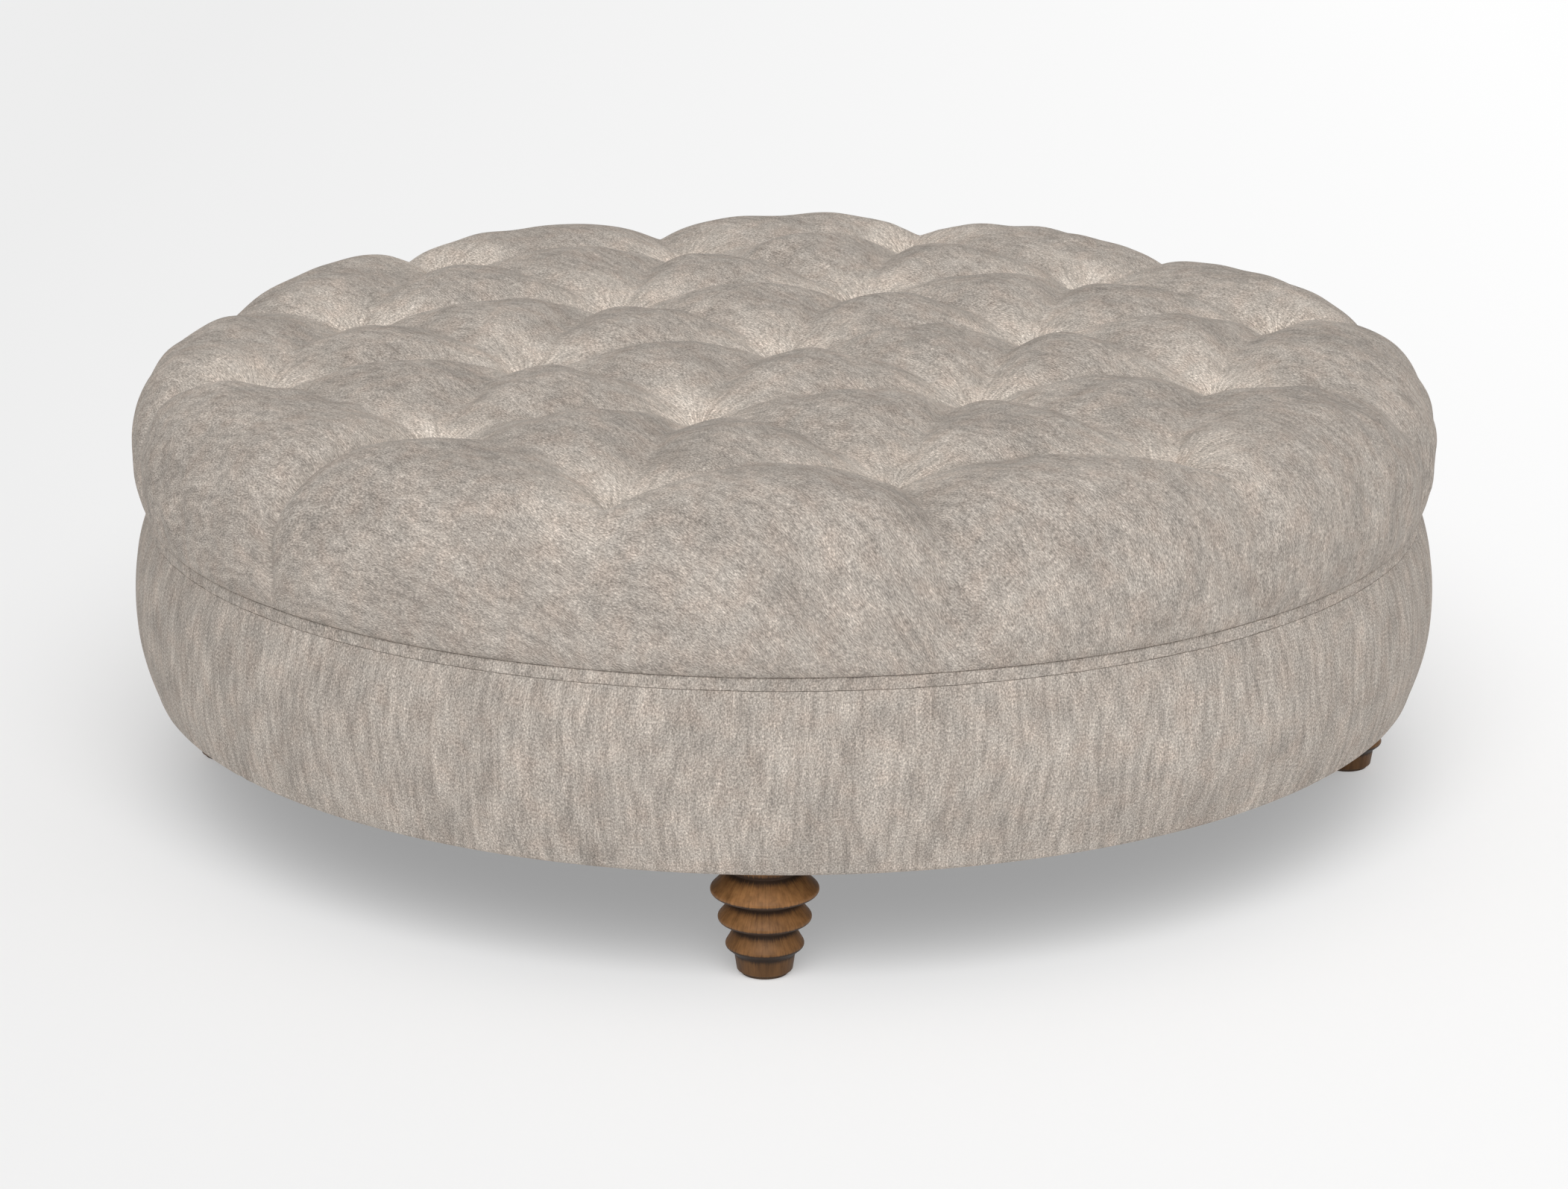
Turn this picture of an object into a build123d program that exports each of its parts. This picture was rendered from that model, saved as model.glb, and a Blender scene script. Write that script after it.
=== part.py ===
from build123d import *
from math import cos, radians, sin, sqrt
import os

# A large round footstool: a tufted cushion and a padded band over a plywood drum on four turned feet.
# Millimetres, +Z up. The origin is on the floor under the middle, and one foot stands in front, at -Y.
# Radii are from the upright axis through the middle, unless a foot or a tuft is named.

# Fits
lay_gap = 0.3  # between a soft or curved piece and what it lies against
bolt_gap = 0.25  # round a bolt in its hole

# Drum of plywood and boards
frame_radius = 577.0
frame_tall = 161.0  # underside of the bottom ring to the top of the deck
board_thick = 18.0
bottom_ring_wide = 112.0
skin_thick = 3.0
post_count = 12
post_wide = 60.0  # along the rim
post_deep = 40.0  # towards the middle
batten_wide = 18.0
batten_deep = 60.0
batten_end_gap = 36.0  # from a batten's end to the circle inside the posts
leg_block_wide = 96.0  # along the rim
leg_block_deep = 66.0
leg_block_thick = 20.0

# Turned feet, and what fixes them
foot_count = 4
foot_height = 104.0  # floor to the underside of the base
foot_inset = 38.0  # middle of a foot inside the rim of the drum
pad_radius = 20.0
pad_thick = 3.0
plinth_foot_radius = 23.3
plinth_radius = 25.2
plinth_height = 14.0
plinth_bevel = 1.2
rim_radii = (33.0, 40.0, 46.4)  # the three turned rings, from the floor up
rim_heights = (22.0, 46.5, 73.0)
rim_flats = (1.6, 1.9, 2.3)  # upright band round each rim
rim_bevels = (1.1, 1.3, 1.5)  # bevel above and below that band
groove_radii = (23.5, 27.5, 29.0)  # the groove above each ring
groove_heights = (34.5, 58.4, 87.0)
collar_radius = 31.5
collar_height = 91.0
collar_gap = 0.5
bolt_radius = 4.0
bolt_in_foot = 42.0
bolt_past_nut = 5.0
nut_plate_wide = 30.0
nut_plate_thick = 2.5
nut_barrel_radius = 5.6
nut_barrel_long = 12.0

# Band round the drum
cloth_thick = 1.4
dust_cover_thick = 0.6
dust_cover_inset = 10.0  # inside the lower edge of the band
band_padding_thick = 9.0
band_overhang = 33.0  # belly of the band beyond the drum
band_belly_height = 88.0  # belly above the underside of the drum
band_foot_overhang = 16.0
band_foot_height = 6.5  # where the band starts to roll under
band_foot_roll = 11.0
band_top_overhang = 17.5
band_top_roll = 5.0
tack_strip_wide = 11.0
tack_strip_thick = 1.5
tail_long = 15.0  # sewn tail of the welt, below the top of the deck
tail_slope = 2.5  # where the tail leans out to the welt, below the top of the deck

# Welt
welt_tall = 10.4
welt_overhang = 19.0
welt_deep = 11.0
welt_bevel = 3.4
seam_room = 1.6  # between the band and the welt

# Cushion
foam_tall = 105.0
foam_bevel = 26.0  # round its upper edge
cushion_tall = 168.0  # deck to the crest of the pillows
lip_overhang = 19.0  # lower edge of the cushion, over the welt
lip_roll = 4.5
pillow_inset = 1.0  # lower edge of an outer pillow, inside the lip
belly_overhang = 30.0  # outer pillows, at their fullest
belly_height = 62.0  # above the deck
shoulder_overhang = 15.0
shoulder_height = 105.0
pleat_depth = 8.0  # how far a pleat is drawn in from the pillows beside it
pleat_drop = 10.0
pillow_sections = 5  # upright sections of an outer pillow, from pleat to pleat
tuft_rows = (3, 4, 5, 4, 3)
tuft_inset = 89.0  # corner tufts inside the rim of the drum
tuft_depth = 48.0  # below the crest of the pillows
tuft_turn = 15.7  # degrees, of the rows of tufts from the line through two feet
tuck_depth = 18.0  # how far an outer pillow runs in past a tuft, under the inner ones
tuck_lift = 13.0  # how much higher its middle ends than its pleats
dimple_radius = 13.0
dimple_foot_radius = 5.0
dimple_height = 3.0  # above the level where the pillows meet at a tuft
dimple_depth = 6.0
crease_overrun = 18.0  # how far an inner pillow runs past the outer tufts, into the outer pillows
stitch_long = 6.0  # how far the twine reaches into the cover
twine_radius = 1.6
twine_sides = 6  # of the twine and of its hole in the deck
deck_hole_radius = 4.0
toggle_long = 26.0
toggle_wide = 8.0
toggle_thick = 4.0

# Heights that follow, from the floor up
cloth_under = foot_height + dust_cover_thick
ring_bottom = cloth_under + cloth_thick
ring_top = ring_bottom + board_thick
block_top = ring_top + leg_block_thick
deck_top = ring_bottom + frame_tall
deck_bottom = deck_top - board_thick
foam_top = deck_top + foam_tall
crest = deck_top + cushion_tall
tuft_floor = crest - tuft_depth
dimple_floor = tuft_floor - dimple_depth
welt_bottom = deck_top + cloth_thick
welt_top = welt_bottom + welt_tall
band_top = welt_bottom - seam_room
lip_bottom = welt_top + lay_gap
pillow_bottom = lip_bottom + lip_roll

# Radii that follow
skin_inside = frame_radius + lay_gap
skin_outside = skin_inside + skin_thick
tail_inside = skin_outside + lay_gap
tail_outside = tail_inside + cloth_thick
strip_inside = tail_outside + lay_gap
padding_inside = skin_outside + lay_gap
padding_outside = padding_inside + band_padding_thick
foot_circle = frame_radius - foot_inset
hem_inside = foot_circle + collar_radius + collar_gap
band_foot_radius = frame_radius + band_foot_overhang
post_circle = sqrt(frame_radius**2 - (post_wide / 2) ** 2) - post_deep / 2
inside_posts = post_circle - post_deep / 2
welt_outside = frame_radius + welt_overhang
welt_inside = welt_outside - welt_deep
cushion_foot_radius = tail_inside + lay_gap
lip_radius = frame_radius + lip_overhang
slit_wide = 2 * (twine_radius + lay_gap)

# The triangle between three tufts, and the tufts at the corners and sides of the whole pattern
corner_tuft = frame_radius - tuft_inset
tuft_spacing = 2 * corner_tuft / (len(tuft_rows) - 1)
row_pitch = tuft_spacing * sqrt(3) / 2
tuft_to_middle = tuft_spacing / sqrt(3)
creases = 6  # that meet at a tuft
tuft_step = 360 / creases  # degrees between two creases
outer_tuft_step = tuft_step / 2  # degrees between two pleats
side_tuft = corner_tuft * cos(radians(outer_tuft_step))


def finish(piece, name):
    """Labels a piece and writes it."""
    piece.part.label = name
    export_step(piece.part, f"parts/{name}.step")


def level(height):
    """A level plane with its X axis along the rows of tufts."""
    return Plane.XY.offset(height).rotated((0, 0, tuft_turn))


def radial_plane(angle):
    """An upright plane through the middle: its X axis points outwards and its Y axis up."""
    turn = radians(angle)
    return Plane(origin=(0, 0, 0), x_dir=(cos(turn), sin(turn), 0), z_dir=(sin(turn), -cos(turn), 0))


def tuft_points():
    """The tufts in rows of three, four, five, four and three, each row half a step beside the next."""
    middle = (len(tuft_rows) - 1) / 2
    return [
        (tuft_spacing * (place - (count - 1) / 2), row_pitch * (row - middle))
        for row, count in enumerate(tuft_rows)
        for place in range(count)
    ]


def tube(inside, outside, low, high):
    """A plain upright ring."""
    with BuildPart() as ring:
        with BuildSketch(Plane.XY.offset(low)):
            Circle(outside)
            Circle(inside, mode=Mode.SUBTRACT)
        extrude(amount=high - low)
    return ring


def foam_slab(spare):
    """The foam under the cover, grown by a clearance, with its upper edge bevelled."""
    with BuildPart() as slab:
        with BuildSketch(Plane.XY.offset(deck_top)):
            Circle(frame_radius + spare)
        extrude(amount=foam_tall + spare)
        chamfer(slab.edges().group_by(Axis.Z)[-1], foam_bevel)
    return slab


os.makedirs("parts", exist_ok=True)

# Bottom ring, which carries the feet and the posts
with BuildPart() as bottom_ring:
    with BuildSketch(Plane.XY.offset(ring_bottom)):
        Circle(frame_radius)
        Circle(frame_radius - bottom_ring_wide, mode=Mode.SUBTRACT)
        with PolarLocations(foot_circle, foot_count):
            Circle(bolt_radius + bolt_gap, mode=Mode.SUBTRACT)
    extrude(amount=board_thick)
finish(bottom_ring, "bottom_ring")

# Blocks that thicken the ring over the feet, bored for the bolts and the barrels of their nuts
with BuildPart() as leg_blocks:
    with BuildSketch(Plane.XY.offset(ring_top)):
        with PolarLocations(foot_circle, foot_count):
            Rectangle(leg_block_deep, leg_block_wide)
            Circle(bolt_radius + bolt_gap, mode=Mode.SUBTRACT)
    extrude(amount=leg_block_thick)
    with BuildSketch(Plane.XY.offset(block_top)):
        with PolarLocations(foot_circle, foot_count):
            Circle(nut_barrel_radius + bolt_gap)
    extrude(amount=-nut_barrel_long - lay_gap, mode=Mode.SUBTRACT)
finish(leg_blocks, "leg_blocks")

# Posts between the bottom ring and the deck, their outer corners at the rim
with BuildPart() as upright_posts:
    with BuildSketch(Plane.XY.offset(ring_top)):
        with PolarLocations(post_circle, post_count, start_angle=180 / post_count):
            Rectangle(post_deep, post_wide)
    extrude(amount=deck_bottom - ring_top)
finish(upright_posts, "upright_posts")

# Deck, drilled for the twine of each tuft
with BuildPart() as deck_panel:
    with BuildSketch(level(deck_bottom)):
        Circle(frame_radius)
        with Locations(*tuft_points()):
            RegularPolygon(deck_hole_radius, twine_sides, mode=Mode.SUBTRACT)
    extrude(amount=board_thick)
finish(deck_panel, "deck_panel")

# Two battens stiffen the deck from below, between the rows of holes
batten_reach = inside_posts - batten_end_gap
batten_side = row_pitch / 2 + batten_wide / 2
batten_long = 2 * sqrt(batten_reach**2 - batten_side**2)
with BuildPart() as deck_battens:
    with BuildSketch(level(deck_bottom)):
        with GridLocations(0, row_pitch, 1, 2):
            Rectangle(batten_long, batten_wide)
    extrude(amount=-batten_deep)
finish(deck_battens, "deck_battens")

# Fibreboard skin wrapped round the drum
band_skin = tube(skin_inside, skin_outside, ring_bottom, deck_top)
finish(band_skin, "band_skin")

# One turned foot: a plinth, three rings with a groove over each, and a collar under the base
with BuildPart() as foot:
    with BuildSketch(Plane.XZ):
        with BuildLine():
            corner = (plinth_radius, plinth_height)
            rings = zip(rim_radii, rim_heights, rim_flats, rim_bevels, groove_radii, groove_heights)
            for rim, height, flat, bevel, groove, groove_height in rings:
                next_corner = (groove, groove_height)
                Polyline(
                    corner,
                    (rim - bevel, height - flat / 2 - bevel),
                    (rim, height - flat / 2),
                    (rim, height + flat / 2),
                    (rim - bevel, height + flat / 2 + bevel),
                    next_corner,
                )
                corner = next_corner
            Polyline(
                corner,
                (collar_radius, collar_height),
                (collar_radius, ring_bottom),
                (0, ring_bottom),
                (0, pad_thick),
                (plinth_foot_radius - plinth_bevel, pad_thick),
                (plinth_foot_radius, pad_thick + plinth_bevel),
                (plinth_radius, plinth_height),
            )
        make_face()
    revolve(axis=Axis.Z)
    with BuildSketch(Plane.XY.offset(ring_bottom)):
        Circle(bolt_radius + bolt_gap)
    extrude(amount=-bolt_in_foot - lay_gap, mode=Mode.SUBTRACT)

with BuildPart() as turned_feet:
    with PolarLocations(foot_circle, foot_count):
        add(foot.part)
finish(turned_feet, "turned_feet")

# Felt under each foot
with BuildPart() as felt_pads:
    with BuildSketch():
        with PolarLocations(foot_circle, foot_count):
            Circle(pad_radius)
    extrude(amount=pad_thick)
finish(felt_pads, "felt_pads")

# Hanger bolts: screwed up into each foot's top and on through the ring and the block to a nut
bolt_bottom = ring_bottom - bolt_in_foot
bolt_top = block_top + nut_plate_thick + bolt_past_nut
with BuildPart() as hanger_bolts:
    with BuildSketch(Plane.XY.offset(bolt_bottom)):
        with PolarLocations(foot_circle, foot_count):
            Circle(bolt_radius)
    extrude(amount=bolt_top - bolt_bottom)
finish(hanger_bolts, "hanger_bolts")

# Nuts with a square plate on the block and a barrel sunk into it
with BuildPart() as plate_nuts:
    with BuildSketch(Plane.XY.offset(block_top)):
        with PolarLocations(foot_circle, foot_count):
            Rectangle(nut_plate_wide, nut_plate_wide)
    extrude(amount=nut_plate_thick)
    with BuildSketch(Plane.XY.offset(block_top)):
        with PolarLocations(foot_circle, foot_count):
            Circle(nut_barrel_radius)
    extrude(amount=-nut_barrel_long)
    with BuildSketch(Plane.XY.offset(block_top + nut_plate_thick)):
        with PolarLocations(foot_circle, foot_count):
            Circle(bolt_radius + bolt_gap)
    extrude(amount=-nut_plate_thick - nut_barrel_long, mode=Mode.SUBTRACT)
finish(plate_nuts, "plate_nuts")

# Foam wrapped round the skin, up to the tail of the welt
band_padding = tube(padding_inside, padding_outside, ring_bottom, deck_top - tail_long - lay_gap)
finish(band_padding, "band_padding")

# Card strip that the top of the band is tacked over, outside the tail of the welt
strip_top = deck_top - tail_slope - lay_gap
tack_strip = tube(strip_inside, strip_inside + tack_strip_thick, strip_top - tack_strip_wide, strip_top)
finish(tack_strip, "tack_strip")

# Band: cloth and wadding with a full belly, rolled in under the welt and turned under the drum
band_top_inside = welt_inside + cloth_thick
band_top_radius = frame_radius + band_top_overhang
with BuildPart() as band_cover:
    with BuildSketch(Plane.XZ):
        with BuildLine():
            belly = ThreePointArc(
                (band_foot_radius, ring_bottom + band_foot_height),
                (frame_radius + band_overhang, ring_bottom + band_belly_height),
                (band_top_radius, band_top - band_top_roll),
            )
            under = TangentArc(belly @ 0, (band_foot_radius - band_foot_roll, cloth_under), tangent=-(belly % 0))
            Polyline(
                belly @ 1,
                (band_top_radius - band_top_roll, band_top),
                (band_top_inside, band_top),
                (band_top_inside, deck_top - tail_long),
                (padding_outside + lay_gap, deck_top - tail_long),
                (padding_outside + lay_gap, ring_bottom),
                (hem_inside, ring_bottom),
                (hem_inside, cloth_under),
                under @ 1,
            )
        make_face()
    revolve(axis=Axis.Z)
finish(band_cover, "band_cover")

# Black cloth under the drum, cut round the collars of the feet
with BuildPart() as dust_cover:
    with BuildSketch(Plane.XY.offset(foot_height)):
        Circle(band_foot_radius - dust_cover_inset)
        with PolarLocations(foot_circle, foot_count):
            Circle(collar_radius + collar_gap, mode=Mode.SUBTRACT)
    extrude(amount=dust_cover_thick)
finish(dust_cover, "dust_cover")

# Welt: a flat piping on its sewn tail, which hangs down outside the skin
with BuildPart() as welt:
    with BuildSketch(Plane.XZ):
        with BuildLine():
            Polyline(
                (welt_outside - welt_bevel, welt_bottom),
                (welt_outside, welt_bottom + welt_bevel),
                (welt_outside, welt_top - welt_bevel),
                (welt_outside - welt_bevel, welt_top),
                (welt_inside, welt_top),
                (welt_inside, welt_bottom + cloth_thick),
                (tail_inside, deck_top - tail_slope),
                (tail_inside, deck_top - tail_long),
                (tail_outside, deck_top - tail_long),
                (tail_outside, deck_top - tail_slope),
                (welt_inside + cloth_thick / 2, welt_bottom),
                (welt_outside - welt_bevel, welt_bottom),
            )
        make_face()
    revolve(axis=Axis.Z)
finish(welt, "welt")

# Foam slab on the deck, slit for the twine
with BuildPart() as foam_core:
    add(foam_slab(0).part)
    with BuildSketch(level(deck_top)):
        with Locations(*tuft_points()):
            Rectangle(slit_wide, slit_wide)
    extrude(amount=foam_tall, mode=Mode.SUBTRACT)
finish(foam_core, "foam_core")

# Twine of each tuft, from the stitch in the cover down through the deck to its toggle
with BuildPart() as tuft_twines:
    with BuildSketch(level(deck_bottom)):
        with Locations(*tuft_points()):
            RegularPolygon(twine_radius, twine_sides)
    extrude(amount=foam_top + stitch_long - deck_bottom)
finish(tuft_twines, "tuft_twines")

with BuildPart() as tuft_toggles:
    with BuildSketch(level(deck_bottom)):
        with Locations(*tuft_points()):
            Rectangle(toggle_long, toggle_wide)
    extrude(amount=-toggle_thick)
finish(tuft_toggles, "tuft_toggles")

# Ball that passes through three tufts: an arc turned about a level line through the ball's middle
ball_radius = (tuft_to_middle**2 + tuft_depth**2) / (2 * tuft_depth)
ball_middle = crest - ball_radius
with BuildPart() as ball:
    with BuildSketch(Plane.XZ):
        with BuildLine():
            dome = ThreePointArc(
                (-tuft_to_middle, tuft_floor),
                (0, crest),
                (tuft_to_middle, tuft_floor),
            )
            Polyline(dome @ 1, (tuft_to_middle, ball_middle), (-tuft_to_middle, ball_middle), dome @ 0)
        make_face()
    revolve(axis=Axis((0, 0, ball_middle), (1, 0, 0)))

# Inner pillow: the ball cut upright along the creases between its three tufts
with BuildPart() as inner_pillow:
    add(ball.part)
    with BuildSketch(Plane.XY.offset(foam_top)):
        RegularPolygon(tuft_to_middle, 3, rotation=90)
    extrude(amount=cushion_tall, mode=Mode.INTERSECT)

# Edge pillow: the same, with its outer side moved out to run under the outer pillows
edge_shift = crease_overrun * 2 / 3
with BuildPart() as edge_pillow:
    add(ball.part)
    with BuildSketch(Plane.XY.offset(foam_top)):
        with PolarLocations(edge_shift, 1, start_angle=outer_tuft_step, rotate=False):
            RegularPolygon(tuft_to_middle + edge_shift, 3, rotation=90)
    extrude(amount=cushion_tall, mode=Mode.INTERSECT)

# Outer pillow: upright sections from the pleat at a corner tuft, over its full middle, to the next pleat
with BuildPart() as outer_pillows:
    for section in range(pillow_sections):
        across = section / (pillow_sections - 1)
        fullness = 1 - (2 * across - 1) ** 2
        angle = outer_tuft_step * across
        crease = side_tuft / cos(radians(outer_tuft_step - angle))
        drawn_in = pleat_depth * (1 - fullness)
        dropped = pleat_drop * (1 - fullness)
        with BuildSketch(radial_plane(angle)):
            with BuildLine():
                side = ThreePointArc(
                    (lip_radius - pillow_inset, pillow_bottom),
                    (frame_radius + belly_overhang - drawn_in, deck_top + belly_height),
                    (frame_radius + shoulder_overhang - drawn_in, deck_top + shoulder_height - dropped),
                )
                inner_end = (crease - tuck_depth * (1 + fullness), dimple_floor + tuck_lift * fullness)
                crown = TangentArc(side @ 1, inner_end, tangent=side % 1)
                Polyline(crown @ 1, (crease - tuck_depth * (1 + fullness), pillow_bottom), side @ 0)
            make_face()
    loft()
    mirror(about=radial_plane(outer_tuft_step))

# Dimple at a tuft, with a corner on each crease
with BuildPart() as dimple:
    with BuildSketch(Plane.XY.offset(dimple_floor)):
        RegularPolygon(dimple_foot_radius, creases)
    with BuildSketch(Plane.XY.offset(tuft_floor + dimple_height)):
        RegularPolygon(dimple_radius, creases)
    loft()

# The whole tufted form, with its rows along X
first = Vector(tuft_spacing, 0)
second = Vector(tuft_spacing / 2, row_pitch)
middle_place = (first + second) / 3
edge_places = [(first * 4 + second) / 3, (first + second * 4) / 3]
turned_place = (first + second) * 2 / 3
with BuildPart() as cushion_cover:
    with BuildSketch(Plane.XZ):
        with BuildLine():
            Polyline(
                (lip_radius - lip_roll, lip_bottom),
                (lip_radius, pillow_bottom),
                (frame_radius + lip_roll, deck_top + shoulder_height - pleat_drop),
                (corner_tuft, dimple_floor),
                (0, dimple_floor),
                (0, deck_top),
                (cushion_foot_radius, deck_top),
                (cushion_foot_radius, lip_bottom),
                (lip_radius - lip_roll, lip_bottom),
            )
        make_face()
    revolve(axis=Axis.Z)
    with PolarLocations(0, creases, start_angle=tuft_turn):
        add(outer_pillows.part)
        with Locations(middle_place, Location(tuple(turned_place), (0, 0, 180))):
            add(inner_pillow.part)
        with Locations(*edge_places):
            add(edge_pillow.part)
    with Locations(level(0)):
        with Locations(*tuft_points()):
            add(dimple.part, mode=Mode.SUBTRACT)
    add(foam_slab(lay_gap).part, mode=Mode.SUBTRACT)
    with BuildSketch(level(deck_top)):
        with Locations(*tuft_points()):
            Rectangle(slit_wide, slit_wide)
    extrude(amount=foam_tall + stitch_long + lay_gap, mode=Mode.SUBTRACT)
finish(cushion_cover, "cushion_cover")
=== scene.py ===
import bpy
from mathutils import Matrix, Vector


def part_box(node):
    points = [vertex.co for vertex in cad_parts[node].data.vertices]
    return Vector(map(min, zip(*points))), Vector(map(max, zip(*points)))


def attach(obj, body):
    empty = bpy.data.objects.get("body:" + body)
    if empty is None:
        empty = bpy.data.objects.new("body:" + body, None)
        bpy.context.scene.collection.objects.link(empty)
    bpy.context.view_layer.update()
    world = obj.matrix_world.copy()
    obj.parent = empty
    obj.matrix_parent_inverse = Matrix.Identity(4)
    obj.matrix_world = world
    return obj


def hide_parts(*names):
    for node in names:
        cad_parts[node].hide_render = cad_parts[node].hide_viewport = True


bl_info = {
    "name": "Round Tufted Footstool",
    "version": (1, 0, 0),
    "blender": (4, 5, 0),
    "location": "View3D > Sidebar > Footstool",
    "description": "Dresses a round tufted footstool: cushion, welt, band, turned feet and what they hold",
    "category": "Add Mesh",
}

from math import cos, pi, radians, sin, sqrt

import bpy
import numpy as np
from bpy.props import FloatProperty, FloatVectorProperty, IntProperty, PointerProperty
from bpy.types import Operator, Panel, PropertyGroup
from mathutils import Vector

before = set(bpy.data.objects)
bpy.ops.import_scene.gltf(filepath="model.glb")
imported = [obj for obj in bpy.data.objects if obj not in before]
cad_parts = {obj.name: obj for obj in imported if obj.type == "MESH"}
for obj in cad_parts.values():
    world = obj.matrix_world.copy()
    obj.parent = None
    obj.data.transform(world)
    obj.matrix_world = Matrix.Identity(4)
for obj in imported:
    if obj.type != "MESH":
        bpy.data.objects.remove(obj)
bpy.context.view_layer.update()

# Places that the frame gives, in metres from the floor or from the upright axis
COVER_LOW, COVER_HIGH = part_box("cushion_cover")
WELT_LOW, WELT_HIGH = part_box("welt")
PADDING_LOW, PADDING_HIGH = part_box("band_padding")
FOAM_LOW, FOAM_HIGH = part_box("foam_core")
DUST_LOW, DUST_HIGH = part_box("dust_cover")
PAD_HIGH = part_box("felt_pads")[1]
FOOT_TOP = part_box("turned_feet")[1].z
BAND_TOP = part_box("band_cover")[1].z
CREST = COVER_HIGH.z
DECK_TOP = COVER_LOW.z
DRUM_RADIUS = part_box("deck_panel")[1].x
SKIN_RADIUS = DRUM_RADIUS + 0.0036

# The play between the cushion and what it lies on
PLAY = 0.0002

SEED = 7
ROOT = "root"

# How far each tuft was drawn from its even place by the upholsterer's hand, in millimetres
TUFT_SHIFT = {
    (0, -2): (-3, -22), (1, -2): (-11, -8), (2, -2): (-8, -24),
    (-1, -1): (-1, -7), (0, -1): (-10, 14), (1, -1): (1, 8), (2, -1): (-14, 12),
    (-2, 0): (-6, 4), (-1, 0): (-1, 10), (0, 0): (-1, 6), (1, 0): (-1, 6), (2, 0): (2, 2),
    (-2, 1): (-6, 10), (-1, 1): (4, 10), (0, 1): (8, 6), (1, 1): (-6, 5),
    (-2, 2): (-12, 13), (-1, 2): (-2, 9), (0, 2): (-5, 4),
}

# How much higher than the others a crease lies, and how much fuller the outer pillow over it is, in
# millimetres
CREASE_LIFT = {((-1, -1), (0, -2)): 9, ((0, -2), (1, -2)): 8}
PILLOW_LIFT = {((-1, -1), (0, -2)): 3, ((0, -2), (1, -2)): 9}


def settings():
    """The sizes and colours that the panel shows."""
    scene = bpy.context.scene
    return (
        scene.footstool_cushion,
        scene.footstool_base,
        scene.footstool_feet,
        scene.footstool_finish,
        scene.footstool_stage,
    )


# Mesh helpers


def make_piece(name, points, faces, flat=None, smooth=True):
    """A mesh object from an array of points and a list of face index arrays, with an optional UV map in
    metres."""
    mesh = bpy.data.meshes.new(name)
    polygons = [row for block in faces for row in block.tolist()]
    mesh.from_pydata(points.tolist(), [], polygons)
    if flat is not None:
        corners = np.empty(len(mesh.loops), dtype=np.int32)
        mesh.loops.foreach_get("vertex_index", corners)
        layer = mesh.uv_layers.new(name="cloth")
        layer.data.foreach_set("uv", flat[corners].astype(np.float32).ravel())
    mesh.polygons.foreach_set("use_smooth", np.full(len(mesh.polygons), smooth))
    mesh.update()
    piece = bpy.data.objects.new(name, mesh)
    bpy.context.scene.collection.objects.link(piece)
    return piece


def add_values(piece, name, values):
    """A number or a vector at each point of a piece, for its material to read."""
    kind, field = ("FLOAT_VECTOR", "vector") if values.ndim == 2 else ("FLOAT", "value")
    layer = piece.data.attributes.new(name, kind, "POINT")
    layer.data.foreach_set(field, values.astype(np.float32).ravel())


def dress(piece, material, slot, *nodes):
    """Gives a piece its material, seats it on the drum's body and hides the nodes that it stands for. Its
    slot is not used."""
    piece.data.materials.clear()
    piece.data.materials.append(material)
    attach(piece, ROOT)
    if nodes:
        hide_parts(*nodes)
    return piece


def polar(radius, angle, *height):
    """Places at a distance and an angle from the upright axis, with their height if it is given."""
    return np.stack([radius * np.cos(angle), radius * np.sin(angle), *height], axis=-1)


def grid_faces(rows, columns, close_rows=False, close_columns=False):
    """Quads between the rows and columns of a grid of points kept row by row."""
    row = np.arange(rows if close_rows else rows - 1)
    column = np.arange(columns if close_columns else columns - 1)
    i, j = (a.ravel() for a in np.meshgrid(row, column, indexing="ij"))
    below, beside = (i + 1) % rows, (j + 1) % columns
    corners = [i * columns + j, i * columns + beside, below * columns + beside, below * columns + j]
    return np.stack(corners, axis=1)


def turned_shape(radius, height, turns, solid=False):
    """A profile that runs up its outside, carried round the upright axis, x = r cos t, y = r sin t, with
    its faces outward. A ring's profile is closed; a solid's starts and ends on the axis and gets a point at
    each pole."""
    shown = slice(1, -1) if solid else slice(None)
    ends = height[0], height[-1]
    grid = np.broadcast_arrays(np.atleast_2d(radius)[:, shown], turns[:, None], height[shown])
    points = polar(*grid).reshape(-1, 3)
    count, rows = grid[0].shape
    faces = [grid_faces(count, rows, True, not solid)[:, ::-1]]
    if solid:
        low = np.arange(count) * rows
        high = low + rows - 1
        pole = np.full(count, len(points))
        faces.append(np.stack([np.roll(low, -1), low, pole], axis=1))
        faces.append(np.stack([high, np.roll(high, -1), pole + 1], axis=1))
        points = np.concatenate([points, [(0, 0, end) for end in ends]])
    return points, faces


def rounded(corners, radii, steps=6):
    """A polyline with its corners rounded: each corner of radius q is an arc that starts q tan(half turn)
    before it."""
    corners = np.array(corners, float)
    pieces = [corners[:1]]
    for before, corner, after, radius in zip(corners[:-2], corners[1:-1], corners[2:], radii):
        back, ahead = before - corner, after - corner
        back, ahead = back / np.linalg.norm(back), ahead / np.linalg.norm(ahead)
        half = np.arccos(np.clip(back @ ahead, -1, 1)) / 2
        reach = radius / np.tan(half)
        middle = corner + (back + ahead) / np.linalg.norm(back + ahead) * radius / np.sin(half)
        first, last = corner + back * reach - middle, corner + ahead * reach - middle
        share = np.linspace(0, 1, steps + 1)[:, None]
        turn = np.arccos(np.clip(first @ last / radius**2, -1, 1))
        arc = (np.sin((1 - share) * turn) * first + np.sin(share * turn) * last) / np.sin(turn)
        pieces.append(middle + arc)
    pieces.append(corners[-1:])
    return np.concatenate(pieces)


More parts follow.
